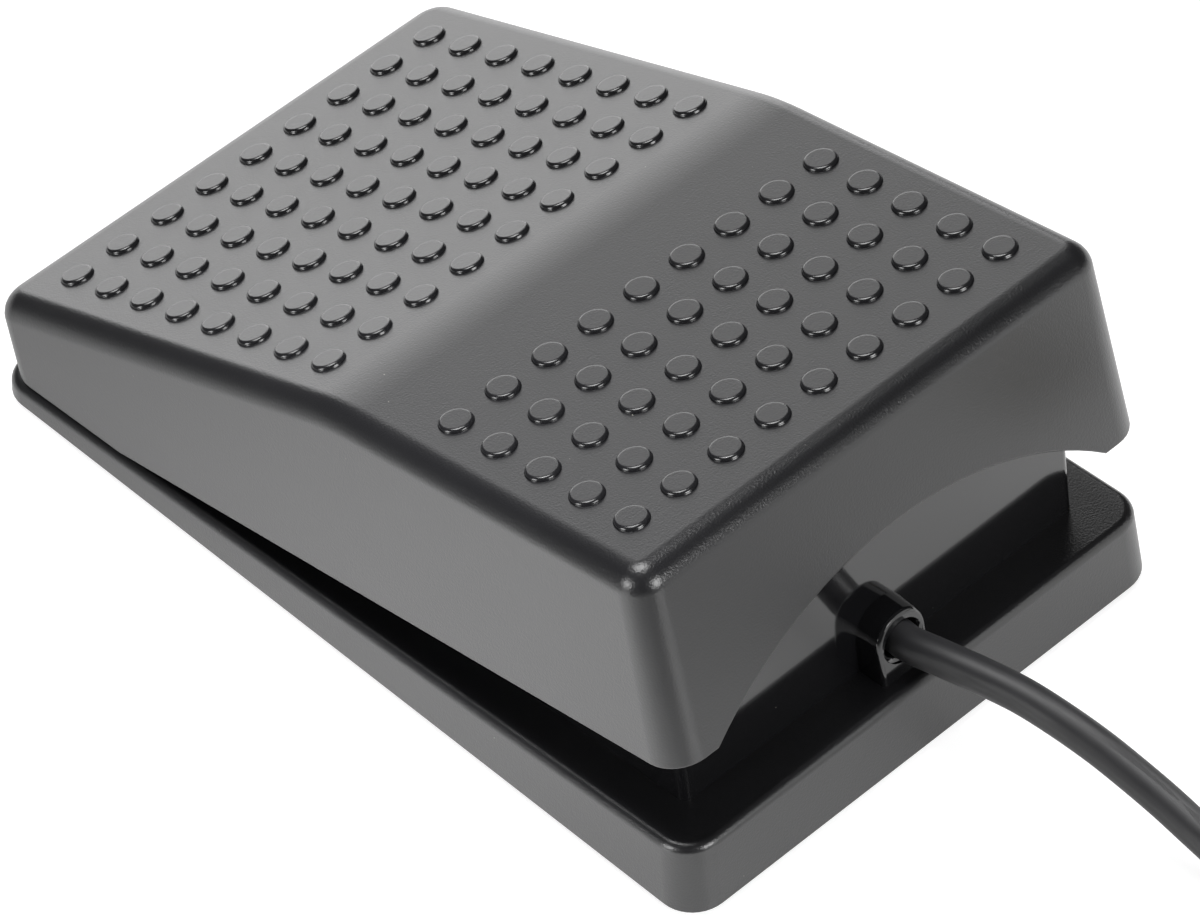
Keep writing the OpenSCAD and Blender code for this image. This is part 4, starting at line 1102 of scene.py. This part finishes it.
def dot_rows(cover, axes, rows, first):
    """Rows of round dots with rounded rims, one solid each, whose flat tops take the first finish."""
    r, h, rim, foot = cover.dot_radius, cover.dot_height, cover.dot_rim, 0.1 * MM
    draw_in, flat_share, segments, top_facing = 0.02 * MM, 0.9, 28, 0.999
    profile = [(r, -foot), (r, (h - rim) / 2)]
    profile += [(r - draw_in - inset, h - drop) for inset, drop in quarter_round(rim, 6)]
    profile += [(flat_share * profile[-1][0], h)]
    half = (cover.dots_across - 1) / 2
    dots = []
    for row in range(rows):
        for i in range(cover.dots_across):
            place = Matrix.Translation(((i - half) * cover.dot_pitch_across,
                                        -first - row * cover.dot_pitch_along, 0))
            dots.append(lathe(profile, axes @ place, segments))
    bm = joined(dots)
    bm.normal_update()
    up = axes.to_3x3() @ Vector((0, 0, 1))
    for face in bm.faces:
        face.material_index = 0 if face.normal.dot(up) > top_facing else 1
    return bm


class FOOTPEDAL_OT_dots(bpy.types.Operator):
    """Grip dots on both slopes of the pedal."""

    bl_idname = "foot_pedal.dots"
    bl_label = "Grip dots"

    def execute(self, context):
        cover = context.scene.foot_pedal_cover
        colours = context.scene.foot_pedal_colours
        plastics = [moulded_abs(colours), worn_abs(colours)]
        rear = pedal_axes(cover) @ Matrix.Translation((0, 0, cover.height))
        ridge = rear @ Matrix.Translation((0, -cover.ridge_back, 0))
        front = ridge @ Matrix.Rotation(cover.slope_step, 4, "X")
        new_piece("front_dots", dot_rows(cover, front, cover.front_rows, cover.front_row_gap), plastics,
                  "pedal", ("front_grip_dots",), sharp=60)
        new_piece("rear_dots", dot_rows(cover, rear, cover.rear_rows, cover.rear_row_gap), plastics,
                  "pedal", ("rear_grip_dots",), sharp=60)
        return {"FINISHED"}


# Base

def flange_form(base):
    """Wedge shaped foot of the base, drafted and rounded along its top edge."""
    rise, slope = flange_rise(base)
    half, reach = base.width / 2, base.length / 2
    marks = (-0.5, 0, 0.5)
    stops = outline_stops([reach * mark for mark in marks], marks, marks, 10)

    def lean(z):
        inward = (z - base.underside) * math.tan(base.draft)
        return inward, inward

    def ring(inset, height):
        return drafted_ring(stops, half, reach, -reach, base.corner, inset, height, lean)

    edge = 0.25 * MM
    rings = [ring(inset, lambda x, y, d=drop: base.underside + d)
             for inset, drop in reversed(quarter_round(edge, 2))]
    rings += [ring(inset, lambda x, y, d=drop: rise + slope * y - d)
              for inset, drop in quarter_round(base.fillet, 6, base.draft)]
    return capped_loft(rings)


def box_block(base, front, back, bottom, top, inset, edge, draft=0.0):
    """A block of the raised box, drawn in by inset, its top edge rounded and its ends leaning."""
    outer_corner, least_corner = 1 * MM, 0.4 * MM
    half, corner = base.box_width / 2 - inset, max(outer_corner - inset, least_corner)
    stops = outline_stops([(front + back) / 2], [0], [0], 5)
    level = (base.flange_high + top) / 2

    def lean(z):
        return 0, (z - level) * math.tan(draft)

    def ring(draw_in, z):
        return drafted_ring(stops, half, back - inset, front + inset, corner, draw_in, lambda x, y: z, lean)

    return capped_loft([ring(0, bottom)] + [ring(i, top - d) for i, d in quarter_round(edge, 3)])


def cable_boss(base, exit_height):
    """Upright boss with a round head that the cable comes out of, its front leaning and rounded."""
    rise, slope = flange_rise(base)
    sunk, edge, lean = 1 * MM, 0.5 * MM, math.tan(math.radians(8))
    foot = rise + slope * base.box_back - sunk
    front = base.box_back + base.boss_length
    outlines = [(0, base.box_back - base.box_wall / 2, 0)]
    outlines += [(inset, front - drop, lean) for inset, drop in quarter_round(edge, 5)]
    rings = []
    for inset, y, slant in outlines:
        r = base.boss_radius - inset
        ring = [(r * math.cos(t), exit_height + r * math.sin(t)) for t in half_turn(24)]
        ring += [(-r, foot), (r, foot)]
        rings.append([Vector((x, y - slant * (z - exit_height), z)) for x, z in ring])
    return capped_loft(rings)


def upright(radius, low, high, x, y):
    """A plain round post or bore."""
    return lathe([(radius, low), (radius, high)], Matrix.Translation((x, y, 0)))


# How far the pivot knuckles reach across the base
KNUCKLE_OUT = 20.5 * MM


def base_adds(base, cord):
    """What stands on the flange: the box's two blocks, the boss, the pivot knuckles and the spring posts."""
    low, high, front, back = base.low_deck, base.high_deck, base.box_front, base.box_back
    edge, sunk, end_lean = 0.3 * MM, 0.3 * MM, math.radians(3)
    adds = [box_block(base, front, back, base.underside + sunk, low, 0, edge),
            box_block(base, base.box_step, back, base.flange_low, high, 0, edge, end_lean),
            cable_boss(base, cord.exit_height)]
    radius, knuckle_in, foot = 3.6 * MM, 17 * MM, base.underside + 1 * MM
    knuckle = [(PIVOT.y - radius, foot), (PIVOT.y + radius, foot)]
    knuckle += [(PIVOT.y + radius * math.cos(t), PIVOT.z + radius * math.sin(t)) for t in half_turn(20)]
    adds += [slab(knuckle, *sorted((x * knuckle_in, x * KNUCKLE_OUT)), ACROSS) for x in SIDES]
    post_radius, post_height, post_edge = 3.1 * MM, 2.4 * MM, 0.4 * MM
    post = [(post_radius, low - MM), (post_radius, low + post_height - post_edge),
            (post_radius - post_edge, low + post_height)]
    return adds + [lathe(post, beside(x, SPRING_MIDDLE)) for x in SIDES]


def base_cuts(base, cord):
    """What is hollow: the box, seats of the plate and feet, lever's window, holes of the cable and pin."""
    floor, wall = base.underside, base.box_wall
    low, high, front, back = base.low_deck, base.high_deck, base.box_front, base.box_back
    inner_edge, gap = 0.4 * MM, 0.15 * MM
    plate_low, plate_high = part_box("bottom_plate")
    plate_corner = 1.5 * MM
    plate = section((plate_high.x - plate_low.x) / 2 + gap, (plate_high.y - plate_low.y) / 2 + gap,
                    plate_corner)
    plate_middle = Matrix.Translation((0, (plate_low.y + plate_high.y) / 2, 0))
    cuts = [box_block(base, front, back, floor - MM, low - wall, wall, inner_edge),
            box_block(base, base.box_step, back, plate_high.z, high - wall, wall, inner_edge),
            slab(plate, floor - MM, plate_high.z, plate_middle)]
    # A foot's seat is round, but for flats too short to see
    flat = 0.01 * MM
    for i in FOUR:
        foot_low, foot_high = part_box(f"rubber_foot_{i}")
        middle = (foot_low + foot_high) / 2
        half = (foot_high.x - foot_low.x) / 2 + gap
        seat = section(half, (foot_high.y - foot_low.y) / 2 + gap, half - flat, 8)
        cuts.append(slab(seat, floor - MM, foot_high.z, Matrix.Translation((middle.x, middle.y, 0))))
    lever_low, lever_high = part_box("switch_lever")
    window_half, window_gap, window_corner = 4.1 * MM, 1.2 * MM, 0.5 * MM
    window = section(window_half, (lever_high.y - lever_low.y) / 2 + window_gap, window_corner)
    cuts.append(slab(window, low - wall - MM, low + MM,
                     Matrix.Translation((0, (lever_low.y + lever_high.y) / 2, 0))))
    mouth, bore, flare = back + base.boss_length, base.hole_radius, 0.55 * MM
    hole = [(bore, back - 2 * wall), (bore, mouth - 2 * flare)]
    hole += [(bore + flare * (1 - math.cos(t)), mouth - 2 * flare * (1 - math.sin(t)))
             for t in (math.pi / 2 * k / 4 for k in range(1, 5))]
    hole.append((bore + flare, mouth + MM))
    along = Matrix.Translation((0, 0, cord.exit_height)) @ Matrix.Rotation(-math.pi / 2, 4, "X")
    pin_radius, pin_end = 1.5 * MM, KNUCKLE_OUT + MM
    return cuts + [lathe(hole, along), lathe([(pin_radius, -pin_end), (pin_radius, pin_end)], PIN_LINE)]


def base_solid(base, cord):
    """The whole base, hollow for the switch; what stands over the flange takes the second finish."""
    bm = combined(flange_form(base), base_adds(base, cord), base_cuts(base, cord))
    rise, slope = flange_rise(base)
    clear = 0.02 * MM
    for face in bm.faces:
        middle = face.calc_center_median()
        face.material_index = 1 if middle.z > rise + slope * middle.y + clear else 0
    return bm


def base_posts(base, plate_top, board_top):
    """Posts inside the box that the plate, board and clamp are screwed to."""
    inside = 1 * MM
    # Radius of a post and of its bore
    large, small = (3 * MM, 1.2 * MM), (2.3 * MM, 0.9 * MM)

    def screw_post(node, post, bottom, deck):
        radius, bore = post
        low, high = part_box(node)
        middle = (low + high) / 2
        return combined(upright(radius, bottom, deck - inside, middle.x, middle.y),
                        cuts=[upright(bore, bottom - MM, high.z, middle.x, middle.y)])

    posts = []
    for i in FOUR:
        deck = base.low_deck if i < 3 else base.high_deck
        posts.append(screw_post(f"plate_screw_{i}", large, plate_top, deck))
        posts.append(screw_post(f"board_screw_{i}", small, board_top, deck))
    clamp_low, clamp_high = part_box("cable_clamp")
    for side in SIDES:
        posts.append(screw_post(f"clamp_screw_{SIDE_NAMES[side]}", small, clamp_high.z, base.high_deck))
    saddle_half, saddle_low, saddle_corner = 4.65 * MM, 15.35 * MM, 0.3 * MM
    saddle = section(saddle_half, (clamp_high.y - clamp_low.y) / 2, saddle_corner, 2)
    posts.append(slab(saddle, saddle_low, base.high_deck - inside,
                      Matrix.Translation((0, (clamp_low.y + clamp_high.y) / 2, 0))))
    return joined(posts)


class FOOTPEDAL_OT_base(bpy.types.Operator):
    """Base housing with its raised box, cable boss, knuckles and inner posts."""

    bl_idname = "foot_pedal.base"
    bl_label = "Base"

    def execute(self, context):
        base, cord = context.scene.foot_pedal_base, context.scene.foot_pedal_cord
        colours = context.scene.foot_pedal_colours
        plastics = [moulded_abs(colours), polished_abs(colours)]
        new_piece("base_shell", base_solid(base, cord), plastics, "base", ("base_housing",))
        posts = base_posts(base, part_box("bottom_plate")[1].z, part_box("circuit_board")[1].z)
        new_piece("base_posts", posts, plastics[:1], "base", ("base_housing",))
        return {"FINISHED"}


# Springs, leads and the small parts

WIRE_SIDES = 12


def spring_wire(side):
    """Compression spring with close end turns, standing on the low deck."""
    turns, wire, mean, points = 5, 1 * MM, 4 * MM, 28
    lift = SPRING_HIGH.z - SPRING_LOW.z - wire
    close = 1.42 * MM
    even = (lift - 2 * close) / (turns - 2)

    def rise(t):
        if t < 1:
            return close * t
        if t > turns - 1:
            return close + even * (turns - 2) + close * (t - turns + 1)
        return close + even * (t - 1)

    x, y, low = side * abs(SPRING_MIDDLE.x), SPRING_MIDDLE.y, SPRING_LOW.z + wire / 2
    path = []
    for i in range(turns * points + 1):
        turn = 2 * math.pi * i / points
        path.append(Vector((x + mean * math.cos(turn), y + mean * math.sin(turn), low + rise(i / points))))
    return tube(path, wire / 2, WIRE_SIDES)


class FOOTPEDAL_OT_springs(bpy.types.Operator):
    """Return springs, a coiled wire on each side, each with a mesh of its own."""

    bl_idname = "foot_pedal.springs"
    bl_label = "Return springs"

    def execute(self, context):
        for side in SIDES:
            name = f"return_spring_{SIDE_NAMES[side]}"
            spring = new_piece(f"{name}_wire", spring_wire(side), [small_finish("spring_steel")], "base",
                               (name,))
            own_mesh(spring)
        return {"FINISHED"}


# Colours of the lead wires, in the order of the header's pins
LEADS = (("#b02020", "red"), ("#ecebe6", "white"), ("#1f7a34", "green"), ("#202022", "black"))


def lead_wires(cord, end):
    """Four wires from the header's plug to the end of the cable, each with its own finish."""
    pitch, spread, radius, straight, points = 2 * MM, 0.85 * MM, 0.55 * MM, 0.1, 24
    plug_low, plug_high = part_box("header_plug")
    start, height = plug_high.y, (plug_low.z + plug_high.z) / 2
    wires = []
    for i in range(len(LEADS)):
        x0, x1 = (i - (len(LEADS) - 1) / 2) * pitch, spread if i > 1 else -spread
        z1 = cord.exit_height + (spread if i % 2 == 0 else -spread)
        path = []
        for step in range(points + 1):
            s = step / points
            turn = ease((s - straight) / (1 - 2 * straight))
            path.append(Vector((x0 + (x1 - x0) * turn, start + (end - start) * s,
                                height + (z1 - height) * turn)))
        wires.append(tube(path, radius, WIRE_SIDES))
    faces_each = len(wires[0].faces)
    bm = joined(wires)
    for face in bm.faces:
        face.material_index = face.index // faces_each
    return bm


class FOOTPEDAL_OT_leads(bpy.types.Operator):
    """Lead wires from the header to the end of the cable, and the cable inside the box."""

    bl_idname = "foot_pedal.leads"
    bl_label = "Leads and inner cable"

    def execute(self, context):
        cord = context.scene.foot_pedal_cord
        jacket = extruded_pvc(context.scene.foot_pedal_colours)
        end, steps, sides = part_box("cable_inner")[0].y, 12, 20
        finishes = [wire_pvc(hex_colour, word) for hex_colour, word in LEADS]
        new_piece("lead_wire_set", lead_wires(cord, end), finishes, "base", ("lead_wires",))
        path = [Vector((0, end + (cord.exit_place - end) * i / steps, cord.exit_height))
                for i in range(steps + 1)]
        new_piece("inner_cable", tube(path, cord.diameter / 2, sides), [jacket], "base",
                  ("cable_inner",))
        return {"FINISHED"}


def dress(material, names, edge_mm=0.0):
    """Gives nodes of the frame a finish and, where asked, slightly broken edges."""
    for name in names:
        node = frame["nodes"][name]
        node.data.materials.clear()
        node.data.materials.append(material)
        if edge_mm:
            node.modifiers.new("Weld", "WELD").merge_threshold = 0.001 * MM
            bevel = node.modifiers.new("Broken edge", "BEVEL")
            bevel.width = edge_mm * MM
            bevel.segments = 2
            bevel.limit_method = "ANGLE"
            bevel.angle_limit = math.radians(40)
            bevel.harden_normals = True


# Nodes of the frame that keep their shape: material slot, names, width of their broken edges in millimetres
DRESSED = (
    ("zinc_steel", [f"plate_screw_{i}" for i in FOUR], 0.12),
    ("zinc_steel", [f"board_screw_{i}" for i in FOUR], 0.08),
    ("zinc_steel", [f"clamp_screw_{side}" for side in SIDE_NAMES.values()], 0.08),
    ("ground_steel", ["pivot_pin"], 0.2),
    ("spring_steel", [f"pin_clip_{side}" for side in SIDE_NAMES.values()], 0.08),
    ("acetal", [f"pivot_bush_{side}" for side in SIDE_NAMES.values()], 0.08),
    ("board_laminate", ["circuit_board"], 0.05),
    ("black_epoxy", ["controller_chip", "board_resistors"], 0.05),
    ("nickel_can", ["crystal"], 0.2),
    ("capacitor_ceramic", ["board_capacitors"], 0.4),
    ("header_nylon", ["header_socket", "header_plug"], 0.1),
    ("clamp_nylon", ["cable_clamp"], 0.2),
    ("switch_body", ["switch_case"], 0.1),
    ("tinned_brass", ["switch_pins"], 0.04),
    ("lever_steel", ["switch_lever"], 0.05),
    ("plunger_red", ["switch_plunger"], 0.1),
)


class FOOTPEDAL_OT_small_parts(bpy.types.Operator):
    """Finishes of the plate, feet, fasteners, pivot, switch and board."""

    bl_idname = "foot_pedal.small_parts"
    bl_label = "Small parts"

    def execute(self, context):
        colours = context.scene.foot_pedal_colours
        rubber = [f"rubber_foot_{i}" for i in FOUR] + [f"bump_stop_{side}" for side in SIDE_NAMES.values()]
        dress(polished_abs(colours), ["bottom_plate"], edge_mm=0.25)
        dress(foot_rubber(colours), rubber, edge_mm=0.3)
        for slot, names, edge_mm in DRESSED:
            dress(small_finish(slot), names, edge_mm)
        return {"FINISHED"}


STEPS = (FOOTPEDAL_OT_stage, FOOTPEDAL_OT_cord, FOOTPEDAL_OT_pedal, FOOTPEDAL_OT_dots, FOOTPEDAL_OT_base,
         FOOTPEDAL_OT_springs, FOOTPEDAL_OT_leads, FOOTPEDAL_OT_small_parts)
GROUPS = {"foot_pedal_base": FootPedalBase, "foot_pedal_cover": FootPedalCover,
          "foot_pedal_cord": FootPedalCord, "foot_pedal_colours": FootPedalColours,
          "foot_pedal_stage": FootPedalStage}


class FOOTPEDAL_PT_panel(bpy.types.Panel):
    """Lists the steps that dress the foot pedal switch."""

    bl_idname = "FOOTPEDAL_PT_panel"
    bl_label = "Foot Pedal Switch"
    bl_space_type = "VIEW_3D"
    bl_region_type = "UI"
    bl_category = "Foot Pedal"

    def draw(self, context):
        for step in STEPS:
            self.layout.operator(step.bl_idname)


CLASSES = tuple(GROUPS.values()) + STEPS + (FOOTPEDAL_PT_panel,)


def register():
    for cls in CLASSES:
        bpy.utils.register_class(cls)
    for name, group in GROUPS.items():
        setattr(bpy.types.Scene, name, PointerProperty(type=group))


def unregister():
    for name in GROUPS:
        delattr(bpy.types.Scene, name)
    for cls in reversed(CLASSES):
        bpy.utils.unregister_class(cls)


def main():
    register()
    for step in STEPS:
        getattr(bpy.ops.foot_pedal, step.bl_idname.split(".")[1])()


if __name__ == "__main__":
    main()
